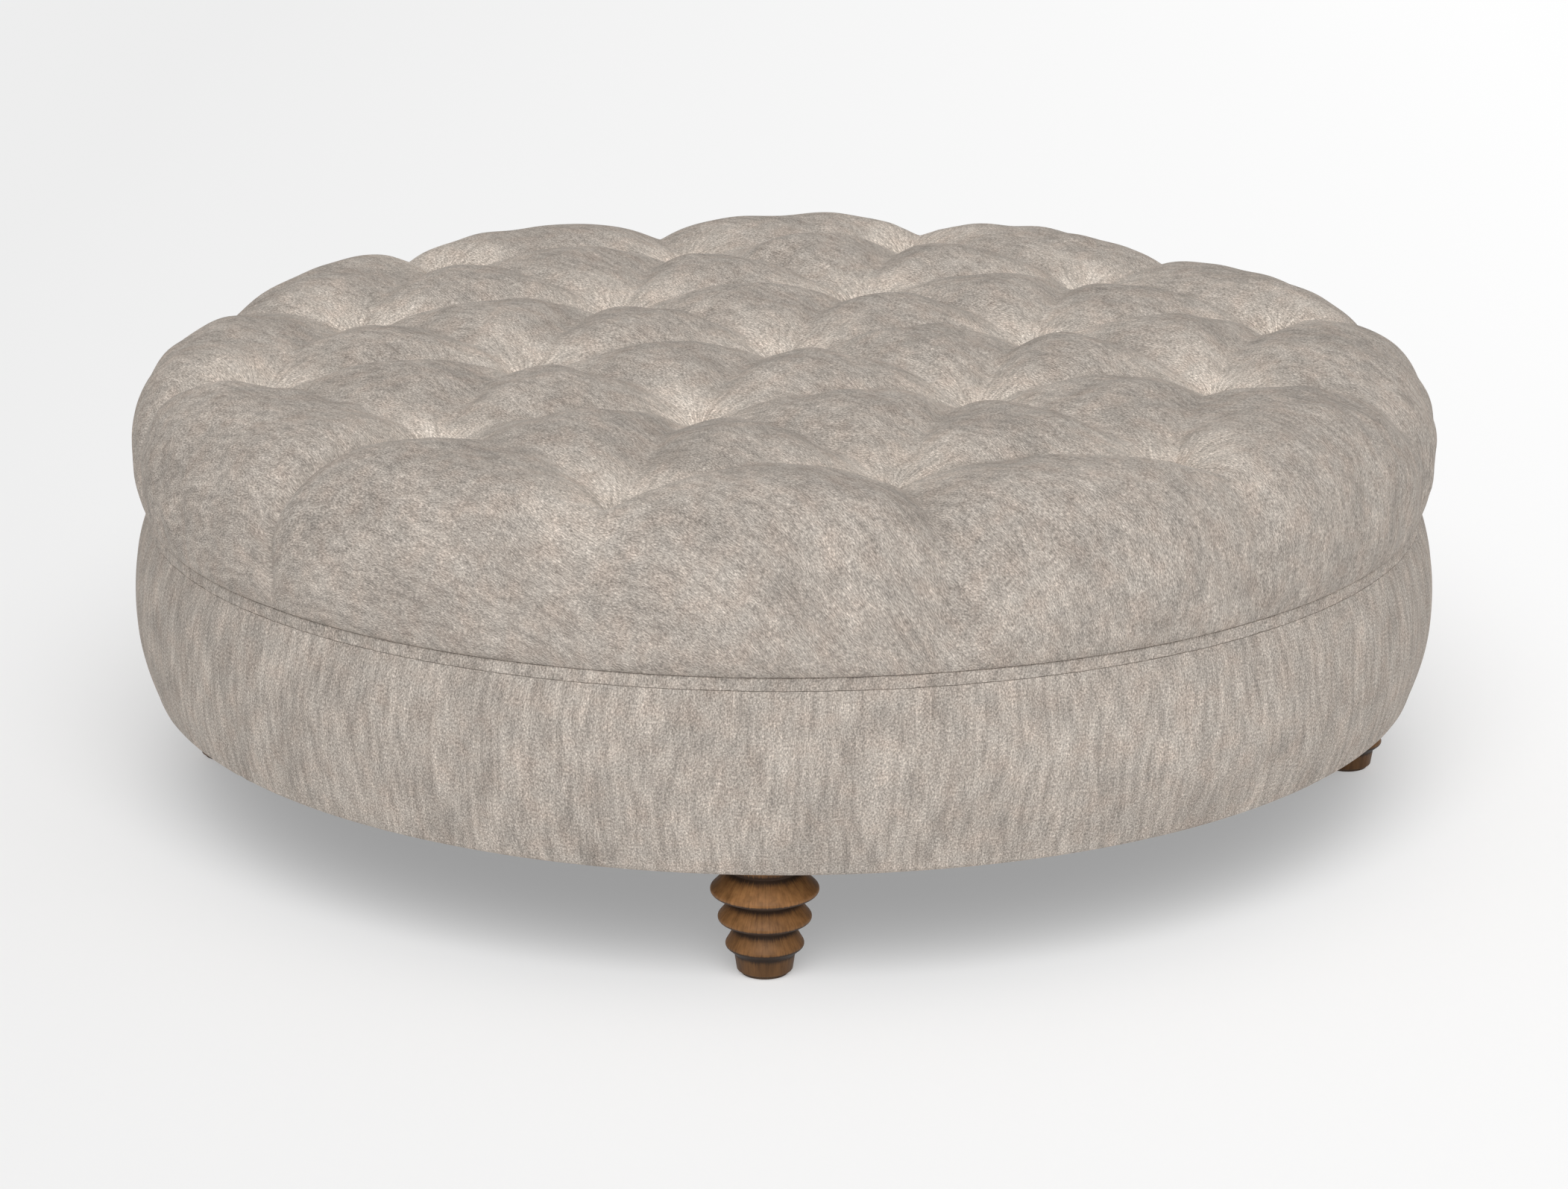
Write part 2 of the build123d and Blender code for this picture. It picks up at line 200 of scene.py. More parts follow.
def resampled(profile, spacing):
    """More points along the straight runs of a profile, no further apart than the spacing."""
    runs = [profile[:1]]
    for first, last in zip(profile[:-1], profile[1:]):
        count = max(1, int(np.ceil(np.linalg.norm(last - first) / spacing)))
        share = np.linspace(0, 1, count + 1)[1:, None]
        runs.append(first + (last - first) * share)
    return np.concatenate(runs)


def arc_length(profile):
    """Distance along a line of points, from its first point."""
    step = np.linalg.norm(np.diff(profile, axis=0), axis=1)
    return np.concatenate([[0.0], np.cumsum(step)])


def soft_waves(places, longest, shortest, count, seed):
    """Smooth unevenness of about unit height: a sum of cosines with directions and phases drawn once."""
    draw = np.random.default_rng(seed)
    length = np.exp(draw.uniform(np.log(shortest), np.log(longest), count))
    heading = draw.uniform(0, 2 * pi, count)
    phase = draw.uniform(0, 2 * pi, count)
    return np.cos(places @ polar(2 * pi / length, heading).T + phase).sum(axis=1) / sqrt(count / 2)


def point_normals(points, faces):
    """Unit normals at the points: the sum of the normals of the faces round each. A quad's normal is the
    cross product of its diagonals, and a triangle's that of two of its sides."""
    total = np.zeros_like(points)
    for block in faces:
        corners = [points[column] for column in block.T]
        if len(corners) == 4:
            normal = np.cross(corners[2] - corners[0], corners[3] - corners[1])
        else:
            normal = np.cross(corners[1] - corners[0], corners[2] - corners[0])
        for column in block.T:
            np.add.at(total, column, normal)
    return total / np.maximum(np.linalg.norm(total, axis=1), 1e-12)[:, None]


# Shader helpers


def new_material(name, **looks):
    """An empty node material whose shader has these looks, a function that adds nodes to it and one that
    joins their outputs to the shader. A socket's name is written with underscores for its spaces."""
    material = bpy.data.materials.new(name)
    material.use_nodes = True
    tree = material.node_tree
    tree.nodes.clear()
    output = tree.nodes.new("ShaderNodeOutputMaterial")
    shader = tree.nodes.new("ShaderNodeBsdfPrincipled")
    tree.links.new(shader.outputs["BSDF"], output.inputs["Surface"])

    def fill(node, values):
        for key, value in values.items():
            named = isinstance(key, str)
            if named and hasattr(node, key):
                setattr(node, key, value)
                continue
            socket = node.inputs[key.replace("_", " ") if named else key]
            if isinstance(value, bpy.types.NodeSocket):
                tree.links.new(value, socket)
            else:
                socket.default_value = value

    def add(kind, places=(), output=0, **values):
        """The output of a new node of this kind. Values set its own settings, or its sockets by name, and
        places its sockets by number. A socket among them is linked."""
        made = tree.nodes.new("ShaderNode" + kind)
        fill(made, {**values, **dict(places)})
        return made.outputs[output]

    def join(**values):
        fill(shader, values)

    fill(shader, looks)
    return material, add, join


def cells(add, source, size, turn=0.0):
    """Coordinates in which one cell of a pattern has this size in metres, with its length turned by an
    angle."""
    size = (*size, 1)[:3]
    return add("Mapping", vector_type="TEXTURE", Vector=source, Scale=size, Rotation=(0, 0, turn))


def noise(add, source, **values):
    """Soft noise about 0.5, whose cells are one unit of its coordinates long unless it is given a scale."""
    return add("TexNoise", Vector=source, **{"Scale": 1.0, **values})


def attribute(add, name, output="Fac"):
    """What the mesh says at its points under this name."""
    return add("Attribute", output=output, attribute_name=name, attribute_type="GEOMETRY")


def ramp(add, source, *stops):
    """A colour ramp with stops of (place, colour) or (place, grey)."""
    stops = [(place, (tone,) * 3 if np.isscalar(tone) else tone) for place, tone in stops]
    made = add("ValToRGB", Fac=source)
    elements = made.node.color_ramp.elements
    elements[0].position, elements[0].color = stops[0][0], (*stops[0][1], 1)
    elements[1].position, elements[1].color = stops[-1][0], (*stops[-1][1], 1)
    for place, tone in stops[1:-1]:
        elements.new(place).color = (*tone, 1)
    return made


def mixed(add, kind, share, first, second):
    """Two colours joined: first and second are sockets or colours, and share is a socket or a number."""
    first, second = (x if isinstance(x, bpy.types.NodeSocket) else (*x, 1) for x in (first, second))
    return add("Mix", {0: share, 6: first, 7: second}, 2, data_type="RGBA", blend_type=kind)


def shaded(add, body, *shades):
    """A colour multiplied by each of the shades."""
    for shade in shades:
        body = mixed(add, "MULTIPLY", 1.0, body, shade)
    return body


def linear(colour):
    """A written sRGB colour, 0 to 1, as the linear values that a shader takes."""
    colour = np.asarray(colour, float)
    low, high = colour / 12.92, ((colour + 0.055) / 1.055) ** 2.4
    return tuple(float(x) for x in np.where(colour <= 0.04045, low, high))


def tones(add, source, colour, *stops):
    """A ramp through darker and lighter tones of one colour, with stops of (place, factor in linear
    light)."""
    plain = linear(colour)
    stops = [(place, tuple(min(1.0, c * factor) for c in plain)) for place, factor in stops]
    return ramp(add, source, *stops)


def heathered_cloth(name, colour, fibre, rib, turn, wander, pull_and_painted_light=False):
    """Soft melange cloth on the piece's flat cloth map: short fibres over longer ribs that lie one way and
    wander a little, and over cloudy patches. Where it is drawn to a tuft, its ribs run to the tuft, and
    there it is painted paler: painted light for the bright slopes that run down into the tufts."""
    material, add, join = new_material(name, Roughness=0.94, Specular_IOR_Level=0.15)
    flat = add("UVMap", uv_map="cloth")
    bend = add("TexNoise", output="Color", Vector=flat, Scale=6.0, Detail=1.0)
    bend = add("VectorMath", {0: bend, 1: (0.5, 0.5, 0.5)}, operation="SUBTRACT")
    bend = add("VectorMath", {0: bend}, operation="SCALE", Scale=wander)
    cloth = add("VectorMath", {0: flat, 1: bend}, operation="ADD")

    fibres = noise(add, cells(add, cloth, fibre, turn), Detail=2.0, Roughness=0.8)
    ribs = noise(add, cells(add, cloth, rib, turn), Detail=3.0)
    clouds = noise(add, cells(add, cloth, CLOUD, turn), Detail=3.0, Roughness=0.68)
    hue = noise(add, flat, Scale=42.0, Detail=2.0)
    body = tones(add, fibres, colour, (0.26, 0.42), (0.42, 0.73), (0.53, 1.02), (0.64, 1.42), (0.78, 2.05))
    rib_shade = ramp(add, ribs, (0.3, 0.79), (0.7, 1.21))
    cloud_shade = ramp(add, clouds, (0.3, 0.84), (0.7, 1.16))
    tint = ramp(add, hue, (0.32, (1.02, 0.99, 0.975)), (0.5, 1.0), (0.68, (0.985, 1.0, 1.01)))
    height = add("Math", {0: ribs, 1: fibres}, operation="ADD")
    if pull_and_painted_light:
        share = attribute(add, "pull_and_painted_light")
        pulled = noise(add, attribute(add, "spokes", "Vector"), Detail=2.0)
        rib_shade = mixed(add, "MIX", share, rib_shade, ramp(add, pulled, (0.34, 0.76), (0.66, 1.24)))
        # Painted light: round each tuft the cloth is painted paler, for the bright slopes that run down
        # into the tufts
        body = shaded(add, body, ramp(add, share, (0.0, 1.0), (1.0, (1.46, 1.46, 1.45))))
        # The gathers stand out of the cloth by more than its ribs
        gathers = add("Math", {0: pulled, 1: share}, operation="MULTIPLY")
        height = add("Math", {0: gathers, 1: 1.3, 2: height}, operation="MULTIPLY_ADD")
    body = shaded(add, body, rib_shade, cloud_shade, tint)
    join(Base_Color=body, Normal=add("Bump", Height=height, Strength=0.35, Distance=0.0006))
    return material


def turned_wood(name, colour, dark):
    """Stained, turned wood. The spokes attribute, whose cells are long strokes down the rings, carries the
    pores, the groove attribute says where the dark colour lies, partly a stain settled in the grooves and
    partly painted shade in them and under each ring, and the tone attribute carries painted shade, darker
    ring by ring towards the floor and at each rim."""
    material, add, join = new_material(name, Roughness=0.5, Specular_IOR_Level=0.22)
    place = add("TexCoord", output="Object")
    grain = noise(add, cells(add, place, (0.0042, 0.0042, 0.05)), Detail=4.0)
    broad = noise(add, cells(add, place, (0.02, 0.02, 0.09)), Detail=2.0)
    pores = noise(add, attribute(add, "spokes", "Vector"), Detail=3.0, Roughness=0.6)
    body = tones(add, grain, colour, (0.3, 0.78), (0.5, 1.0), (0.7, 1.22))
    strokes = (0.34, (0.72, 0.68, 0.64)), (0.46, (0.96, 0.95, 0.94)), (0.7, (1.08, 1.08, 1.07))
    body = mixed(add, "MULTIPLY", 0.85, body, ramp(add, pores, *strokes))
    body = shaded(add, body, ramp(add, broad, (0.3, (0.84, 0.82, 0.8)), (0.7, 1.1)))
    ragged = add("Math", {0: pores, 1: -1.1, 2: 0.55}, operation="MULTIPLY_ADD")
    edge = add("Math", {0: attribute(add, "groove"), 1: ragged}, operation="ADD")
    # Partly a dark stain in the grooves and partly painted shade in them and under each ring
    body = mixed(add, "MIX", ramp(add, edge, (0.25, 0.0), (0.8, 1.0)), body, linear(dark))
    # Painted shade: the wood darker towards the floor and at each rim
    body = shaded(add, body, ramp(add, attribute(add, "tone"), (0.0, 0.0), (1.0, 1.0)))
    join(Base_Color=body, Normal=add("Bump", Height=pores, Strength=0.3, Distance=0.0004))
    return material


def grained_board(name, colour, grain_size, contrast):
    """Unfinished board: rings and grain stretched along one direction, with a fine fibre bump."""
    material, add, join = new_material(name, Roughness=0.75)
    place = add("TexCoord", output="Object")
    grain = noise(add, cells(add, place, grain_size), Detail=5.0, Roughness=0.6, Distortion=0.4)
    body = tones(add, grain, colour, (0.3, 1 - contrast), (0.5, 1.0), (0.7, 1 + contrast))
    join(Base_Color=body, Normal=add("Bump", Height=grain, Strength=0.2, Distance=0.0005))
    return material


def speckled(name, colour, scale, contrast, roughness, depth=0.0005, metal=0.0):
    """An even stuff with fine cells or fibres: foam, felt, bonded cloth, plastic, card or plated steel.
    Scale is the number of its cells in a metre, and depth the height of its bump."""
    material, add, join = new_material(name, Roughness=roughness, Metallic=metal)
    speckles = noise(add, add("TexCoord", output="Object"), Scale=scale, Detail=3.0, Roughness=0.65)
    body = tones(add, speckles, colour, (0.3, 1 - contrast), (0.7, 1 + contrast))
    join(Base_Color=body, Normal=add("Bump", Height=speckles, Strength=0.5, Distance=depth))
    return material


# Sizes and colours

# Cloth patterns, length and width of one cell in metres
CLOUD = (0.09, 0.05)
CUSHION_FIBRE, CUSHION_RIB = (0.0031, 0.0012), (0.016, 0.006)
BASE_FIBRE, WELT_RIB, BAND_RIB = (0.0021, 0.0015), (0.012, 0.007), (0.034, 0.0062)


def length_of(name, default, description, low=0.0, high=1.0):
    """A length in metres."""
    kind = {"precision": 4, "subtype": "DISTANCE", "unit": "LENGTH"}
    return FloatProperty(name=name, description=description, default=default, min=low, max=high, **kind)


def angle_of(name, degrees, description):
    """An angle, written in degrees."""
    kind = {"subtype": "ANGLE", "unit": "ROTATION"}
    return FloatProperty(name=name, description=description, default=radians(degrees), **kind)


def number_of(name, default, description, low=0.0, high=1.0):
    """A plain number."""
    return FloatProperty(name=name, description=description, default=default, min=low, max=high)


def count_of(name, default, description, low, high):
    """A whole number."""
    return IntProperty(name=name, description=description, default=default, min=low, max=high)


def colour_of(name, default, description):
    """An sRGB colour as it should look in plain light."""
    kind = {"size": 3, "min": 0, "max": 1, "subtype": "COLOR_GAMMA"}
    return FloatVectorProperty(name=name, description=description, default=default, **kind)


class FootstoolCushion(PropertyGroup):
    tuft_inset: length_of("Tuft inset", 0.089, "Corner tufts inside the rim of the drum")
    tuft_turn: angle_of("Tuft turn", 15.7, "Angle of the rows of tufts from the line through two feet")
    tuft_drop: length_of("Tuft drop", 0.030, "How far a crease falls from a pillow's rim to the tuft")
    tuft_pull: number_of("Tuft pull", 1.45, "How suddenly it falls: 1 is a cone, more a funnel", 1.0, 3.0)
    fullness: length_of("Fullness", 0.0150, "Extra puff of an inner pillow over its creases")
    dome: length_of("Dome", 0.0050, "How much lower creases and tufts lie at the edge than in the middle")
    pit_depth: length_of("Pit depth", 0.0045, "Depth of the dimple that the twine pulls")
    pit_radius: length_of("Pit radius", 0.011, "Radius of that dimple")
    crease_round: length_of("Crease round", 0.005, "Rounding of the valleys between pillows")
    crease_pull: length_of("Crease pull", 0.0016, "Depth of a crease's fold line at a tuft")
    crease_reach: length_of("Crease reach", 0.030, "How far that depth runs from the tuft")
    crease_width: length_of("Crease width", 0.007, "Width of the fold line to each side")
    outer_drop: length_of("Outer drop", 0.0130, "Crest of the outer pillows below the inner ones")
    pleat_depth: length_of("Pleat depth", 0.0065, "Depth of the fold line down the deepest pleat")
    pleat_width: length_of("Pleat width", 0.008, "Width of a pleat's fold line to each side")
    pleat_drop: length_of("Pleat drop", 0.021, "How far a pleat falls below the crest of the outer pillows")
    pleat_in: length_of("Pleat in", 0.006, "How far a pleat is drawn in at the belly")
    belly_overhang: length_of("Belly overhang", 0.0305, "Belly of the cushion beyond the drum")
    belly_height: length_of("Belly height", 0.063, "Belly of the cushion above the deck")
    lip_overhang: length_of("Lip overhang", 0.0185, "Sewn edge of the cushion beyond the drum")
    shoulder_share: number_of("Shoulder", 0.43, "How far out an outer pillow has its crest", 0.1, 0.9)
    pucker: length_of("Pucker", 0.0005, "Height of the small gathers round a tuft")
    unevenness: length_of("Unevenness", 0.0011, "Height of the slow lumps in the stuffing")
    deep_pleat: count_of("Deep pleat", 1, "The deepest pleat, with a deep one before it", 1, 11)
    deep_lean: angle_of("Deep lean", -1.7, "How far the deepest pleat has turned where it reaches the welt")
    inner_steps: count_of("Inner steps", 56, "Points along a crease", 8, 160)


class FootstoolBase(PropertyGroup):
    band_belly: length_of("Band belly", 0.033, "Belly of the band beyond the drum")
    band_foot: length_of("Band foot", 0.0175, "Where the band starts to roll under, beyond the drum")
    band_roll: length_of("Band roll", 0.0075, "Height of the rolled lower edge")
    band_top: length_of("Band top", 0.0188, "Top of the band beyond the drum")
    seam_turn: angle_of("Seam turn", -141.9, "Angle of the band's upright seam")
    seam_depth: length_of("Seam depth", 0.0016, "Depth of the upright seam")
    welt_wrinkle: length_of("Welt wrinkle", 0.0003, "Height of the small wrinkles along the welt")
    staple_count: count_of("Staples", 84, "Staples round the dust cover", 0, 200)


class FootstoolFeet(PropertyGroup):
    rim_round: length_of("Rim round", 0.0032, "Rounding of the rims of the turned rings")
    groove_round: length_of("Groove round", 0.0008, "Rounding at the bottom of the grooves")
    turns: count_of("Turns", 120, "Points round a foot", 24, 360)


class FootstoolFinish(PropertyGroup):
    cloth: colour_of("Cloth", (0.668, 0.633, 0.598), "Heathered cover cloth")
    wood: colour_of("Wood", (0.575, 0.41, 0.25), "Stained wood of the feet")
    # Dark colour of the grooves, partly stain and partly painted shade in them and under each ring
    groove: colour_of("Groove", (0.265, 0.20, 0.155), "Dark stain in the grooves")


class FootstoolStage(PropertyGroup):
    floor_left: colour_of("Floor at the left", (0.935, 0.935, 0.935), "Floor of the studio at its left")
    floor_right: colour_of("Floor at the right", (1.0, 1.0, 1.0), "Floor of the studio at its right")
    floor_reach: length_of("Floor reach", 40.0, "Half the width of the floor", 1.0, 100.0)
    floor_glow: number_of("Floor glow", 0.30, "Light that the camera sees in the floor itself")
    key_strength: number_of("Key strength", 2.07, "Strength of the broad frontal light", 0.0, 20.0)
    key_spread: angle_of("Key spread", 50, "Angle that the broad light fills, for soft shadows")
    sky: number_of("Sky", 0.45, "Strength of the even light from all round", 0.0, 5.0)


# Cushion

# Powers that crowd points to the creases and to the start of a crown, and that shape crown and shoulder
CROWDING, CROWN_CROWDING = 1.3, 1.25
CROWN_POWER, SHOULDER_SQUARE = 2.2, 2.15

# Steps over the crown of an outer pillow, round its shoulder and under its belly
CROWN_STEPS, SHOULDER_STEPS, TUCK_STEPS = 28, 33, 14

# How much the stuffing of the inner pillows differs, how much pleats lean, how weak and strong they are,
# and the strength of the one next to the deepest
PUFF_SPREAD = 0.0012
PLEAT_LEAN = 0.02
PLEAT_WEAK, PLEAT_STRONG, PLEAT_NEXT = 0.05, 0.3, 0.7

# How an outer pillow falls to a weak pleat, and what a strong one takes from that or adds to it
PLEAT_GIVE, PLEAT_GIVE_FALL = 0.06, 0.05
PLEAT_POWER, PLEAT_POWER_RISE = 2.1, 3.4

# Where the gathers round a tuft start and fade, and how far it draws the cloth and how far round it the
# cloth is painted paler, as painted light
GATHER_START, GATHER_FADE = 0.006, 0.03
PULL_AND_PAINTED_LIGHT_REACH = 0.062

# Spokes round a tuft, their length and how many of them lie between the patterns of two tufts
SPOKE_COUNT, SPOKE_LENGTH, SPOKE_OFFSET = 12, 0.020, 9.0

# How far above its sewn edge the cushion has its full folds and lumps, and where it is closed below
EDGE_FADE = 0.03
CLOSED_RADIUS = DRUM_RADIUS + 0.0045


def tuft_places(sizes):
    """The 19 tufts: i steps along one row direction and j along the next, with |i|, |j| and |i + j| at most
    2, each shifted a little by hand."""
    spacing, turn = (DRUM_RADIUS - sizes.tuft_inset) / 2, sizes.tuft_turn
    first = spacing * np.array([cos(turn), sin(turn)])
    second = spacing * np.array([cos(turn + pi / 3), sin(turn + pi / 3)])
    return {(i, j): i * first + j * second + np.array(shift) / 1000 for (i, j), shift in TUFT_SHIFT.items()}


def lattice_triangles(places):
    """The 24 triangles of neighbouring tufts, each with its corners turning left."""
    found = []
    for i in range(-3, 3):
        for j in range(-3, 3):
            upright = [(i, j), (i + 1, j), (i, j + 1)]
            turned = [(i + 1, j), (i + 1, j + 1), (i, j + 1)]
            found += [t for t in (upright, turned) if all(key in places for key in t)]
    return found


def outer_ring(places):
    """The 12 outer tufts in order round the cushion."""
    edge = [key for key in places if max(abs(key[0]), abs(key[1]), abs(key[0] + key[1])) == 2]
    return sorted(edge, key=lambda key: np.arctan2(places[key][1], places[key][0]))


def crowded(share):
    """Shares from 0 to 1 drawn closer together at both ends: g(t) / (g(t) + g(1 - t)), with g a power of
    t."""
    left, right = share**CROWDING, (1 - share) ** CROWDING
    return left / (left + right)


def eased(share, give):
    """A share that starts level instead of at a slope, so that two pillows meet in a rounded valley:
    (sqrt(s^2 + g^2) - g) / (sqrt(1 + g^2) - g)."""
    return (np.sqrt(share**2 + give**2) - give) / (np.sqrt(1 + give**2) - give)


def domed(plan, sizes):
    """How far the dome lowers a place in plan: dome (r / R)^2, with R the reach of the outer tufts."""
    reach = DRUM_RADIUS - sizes.tuft_inset
    return sizes.dome * (plan**2).sum(axis=-1) / reach**2


def crease_give(sizes):
    """The rounding of a valley as a share of the distance between two tufts."""
    return 2 * sizes.crease_round / (DRUM_RADIUS - sizes.tuft_inset)


def lift(table, first, last):
    """A hand-set lift of a crease or of the pillow over it, in metres."""
    return table.get((min(first, last), max(first, last)), 0) / 1000


def crease_height(share, plan, raised, sizes):
    """Height along a crease: rim - dome - drop (1 - 3 s t)^pull + lift (4 s t)^2, with s and t the eased
    shares to its two ends, so it is lowest at the tufts."""
    product = eased(share, crease_give(sizes)) * eased(1 - share, crease_give(sizes))
    fall = (1 - 3 * product) ** sizes.tuft_pull
    rim = CREST - sizes.fullness - domed(plan, sizes)[:, None]
    return rim - sizes.tuft_drop * fall + raised * (4 * product) ** 2


def inner_pillow(corners, lifts, sizes, puff):
    """A three-sided pillow on barycentric shares, crowded towards its creases. With a, b, c the eased
    shares, its height is rim - dome - drop (1 - 3 (ab + bc + ca))^pull + puff 27abc, and lift (4bc)^2 for
    each raised crease, so it meets its neighbours at the same heights. Its folds are nought."""
    steps = sizes.inner_steps
    i, j = (a.ravel() for a in np.meshgrid(np.arange(steps + 1), np.arange(steps + 1), indexing="ij"))
    keep = i + j <= steps
    i, j = i[keep], j[keep]
    shares = (np.stack([steps - i - j, i, j], axis=1) / steps) ** CROWDING
    a, b, c = (shares / shares.sum(axis=1, keepdims=True)).T
    plan = a[:, None] * corners[0] + b[:, None] * corners[1] + c[:, None] * corners[2]
    a, b, c = (eased(x, crease_give(sizes)) for x in (a, b, c))
    fall = np.maximum(1 - 3 * (a * b + b * c + c * a), 0) ** sizes.tuft_pull
    height = CREST - sizes.fullness - domed(plan, sizes) - sizes.tuft_drop * fall + puff * 27 * a * b * c
    for raised, product in zip(lifts, (b * c, c * a, a * b)):
        height = height + raised * (4 * product) ** 2
    index = np.full((steps + 1, steps + 1), -1)
    index[i, j] = np.arange(len(i))
    up = i + j < steps
    down = i + j < steps - 1
    faces_up = np.stack([index[i[up], j[up]], index[i[up] + 1, j[up]], index[i[up], j[up] + 1]], axis=1)
    di, dj = i[down], j[down]
    faces_down = np.stack([index[di + 1, dj], index[di + 1, dj + 1], index[di, dj + 1]], axis=1)
    faces = np.concatenate([faces_up, faces_down])
    return np.column_stack([plan, height]), plan, faces, np.zeros(len(plan))


def outer_pillow(first, last, pleats, crease_lift, pillow_lift, sizes):
    """An outer pillow on a grid: across it from pleat to pleat, and outwards from its crease over the crown
    (a falling power curve), round the shoulder (a quarter superellipse) and in to the sewn edge (a quarter
    ellipse). Its two pleats each have a lean, which turns them about the upright axis, more and more
    towards the sewn edge, and a strength, which squares the pillow's fall to the pleat and by which the
    fold's depth, exp(-d / width) to its sides, is multiplied."""
    (start_lean, start_strength), (end_lean, end_strength) = pleats
    across = crowded(np.linspace(0, 1, sizes.inner_steps + 1))[:, None]
    plan = first + (last - first) * across
    reach = np.linalg.norm(plan, axis=1, keepdims=True)
    angle = np.arctan2(plan[:, 1:], plan[:, :1])
    start, end = angle[0, 0], angle[-1, 0]
    swept = np.mod(angle - start, 2 * pi) / np.mod(end - start, 2 * pi)
    strength = np.where(swept < 0.5, start_strength, end_strength)
    rise = eased(1 - np.abs(2 * swept - 1), PLEAT_GIVE - PLEAT_GIVE_FALL * strength)
    full = 1 - (1 - rise) ** (PLEAT_POWER + PLEAT_POWER_RISE * strength)
    crease = crease_height(across, plan, crease_lift, sizes)
    belly = DRUM_RADIUS + sizes.belly_overhang - sizes.pleat_in * (1 - full)
    belly_z = DECK_TOP + sizes.belly_height
    top = CREST - sizes.outer_drop + pillow_lift * full - sizes.pleat_drop * (1 - full)
    top_reach = reach + (belly - reach) * sizes.shoulder_share
    lip, lip_z = DRUM_RADIUS + sizes.lip_overhang, WELT_HIGH.z + PLAY

    run = np.linspace(0, 1, CROWN_STEPS + 1)[None, :] ** CROWN_CROWDING
    crown_r = reach + (top_reach - reach) * run
    risen = eased(run, sizes.crease_round / (top_reach - reach))
    crown_z = crease + (top - crease) * (1 - (1 - risen) ** CROWN_POWER)
    turn = np.linspace(0, pi / 2, SHOULDER_STEPS + 1)[None, 1:]
    shoulder_r = top_reach + (belly - top_reach) * np.sin(turn) ** (2 / SHOULDER_SQUARE)
    shoulder_z = belly_z + (top - belly_z) * np.cos(turn) ** (2 / SHOULDER_SQUARE)
    tuck = np.linspace(0, pi / 2, TUCK_STEPS + 1)[None, 1:]
    under_r = lip + (belly - lip) * np.cos(tuck)
    under_z = belly_z - (belly_z - lip_z) * np.sin(tuck) + 0 * reach
    radius = np.concatenate([crown_r, shoulder_r, under_r], axis=1)
    height = np.concatenate([crown_z, shoulder_z, under_z], axis=1)

    step = np.hypot(np.diff(radius, axis=1), np.diff(height, axis=1))
    along = reach + np.concatenate([np.zeros_like(reach), np.cumsum(step, axis=1)], axis=1)
    run = (along - along[:, :1]) / (along[:, -1:] - along[:, :1])
    angle = angle + (start_lean * (1 - swept) + end_lean * swept) * np.sin(run * pi / 2)
    wide = np.mod(end - start, 2 * pi) * radius
    fold = start_strength * np.exp(-swept * wide / sizes.pleat_width)
    fold = np.maximum(fold, end_strength * np.exp((swept - 1) * wide / sizes.pleat_width))
    fold = fold * sizes.pleat_depth * np.sin(np.clip(run * 6, 0, 1) * pi / 2)
    points, flat = polar(radius, angle, height).reshape(-1, 3), polar(along, angle).reshape(-1, 2)
    return points, flat, grid_faces(*radius.shape), fold.ravel()


def fold_depth(flat, places, sizes):
    """Depth of the fold lines: each crease falls off as exp(-d / width) to its sides and as exp(-e / reach)
    along it from a tuft. Where folds meet, the deepest counts."""
    depth = np.zeros(len(flat))
    steps = ((1, 0), (0, 1), (-1, 1))
    for (i, j), (a, b) in ((key, step) for key in sorted(places) for step in steps):
        if (i + a, j + b) not in places:
            continue
        tuft = places[(i, j)]
        run = places[(i + a, j + b)] - tuft
        length = np.linalg.norm(run)
        share = np.clip((flat - tuft) @ run / length**2, 0, 1)
        side = np.linalg.norm(flat - (tuft + share[:, None] * run), axis=1)
        from_tuft = np.minimum(share, 1 - share) * length
        pull = sizes.crease_pull * np.exp(-from_tuft / sizes.crease_reach)
        depth = np.maximum(depth, pull * np.exp(-side / sizes.crease_width))
    return depth


def tuft_pits(flat, places, sizes):
    """Depth of the dimples, exp(-(d / radius)^2), and height of the gathers that fan out round each of
    them."""
    pit = np.zeros(len(flat))
    gather = np.zeros(len(flat))
    draw = np.random.default_rng(SEED + 2)
    for key in sorted(places):
        away = flat - places[key]
        distance = np.linalg.norm(away, axis=1)
        pit = np.maximum(pit, np.exp(-((distance / sizes.pit_radius) ** 2)))
        heading = np.arctan2(away[:, 1], away[:, 0])
        fade = np.exp(-distance / GATHER_FADE) * (1 - np.exp(-distance / GATHER_START))
        counts, phases = draw.integers(11, 23, 3), draw.uniform(0, 2 * pi, 3)
        wave = sum(np.cos(count * heading + phase) for count, phase in zip(counts, phases))
        gather += fade * wave / 2
    return pit * sizes.pit_depth, gather * sizes.pucker * 3


def pulled_cloth_and_painted_light(flat, places):
    """Where the cloth is drawn to its nearest tuft: coordinates whose cells are long spokes round the tuft
    (n cos t, n sin t, distance / length) and a share, exp(-(d / reach)^2), of how strongly it is drawn and
    of the painted light that makes it paler there."""
    away = flat[:, None] - np.array([places[key] for key in sorted(places)])[None]
    distance = np.linalg.norm(away, axis=2)
    nearest = distance.argmin(axis=1)
    row = np.arange(len(flat))
    away, distance = away[row, nearest], distance[row, nearest]
    spoke = away / np.maximum(distance, 1e-6)[:, None] * SPOKE_COUNT
    spokes = np.column_stack([spoke, distance / SPOKE_LENGTH + nearest * SPOKE_OFFSET])
    return spokes, np.exp(-((distance / PULL_AND_PAINTED_LIGHT_REACH) ** 2))


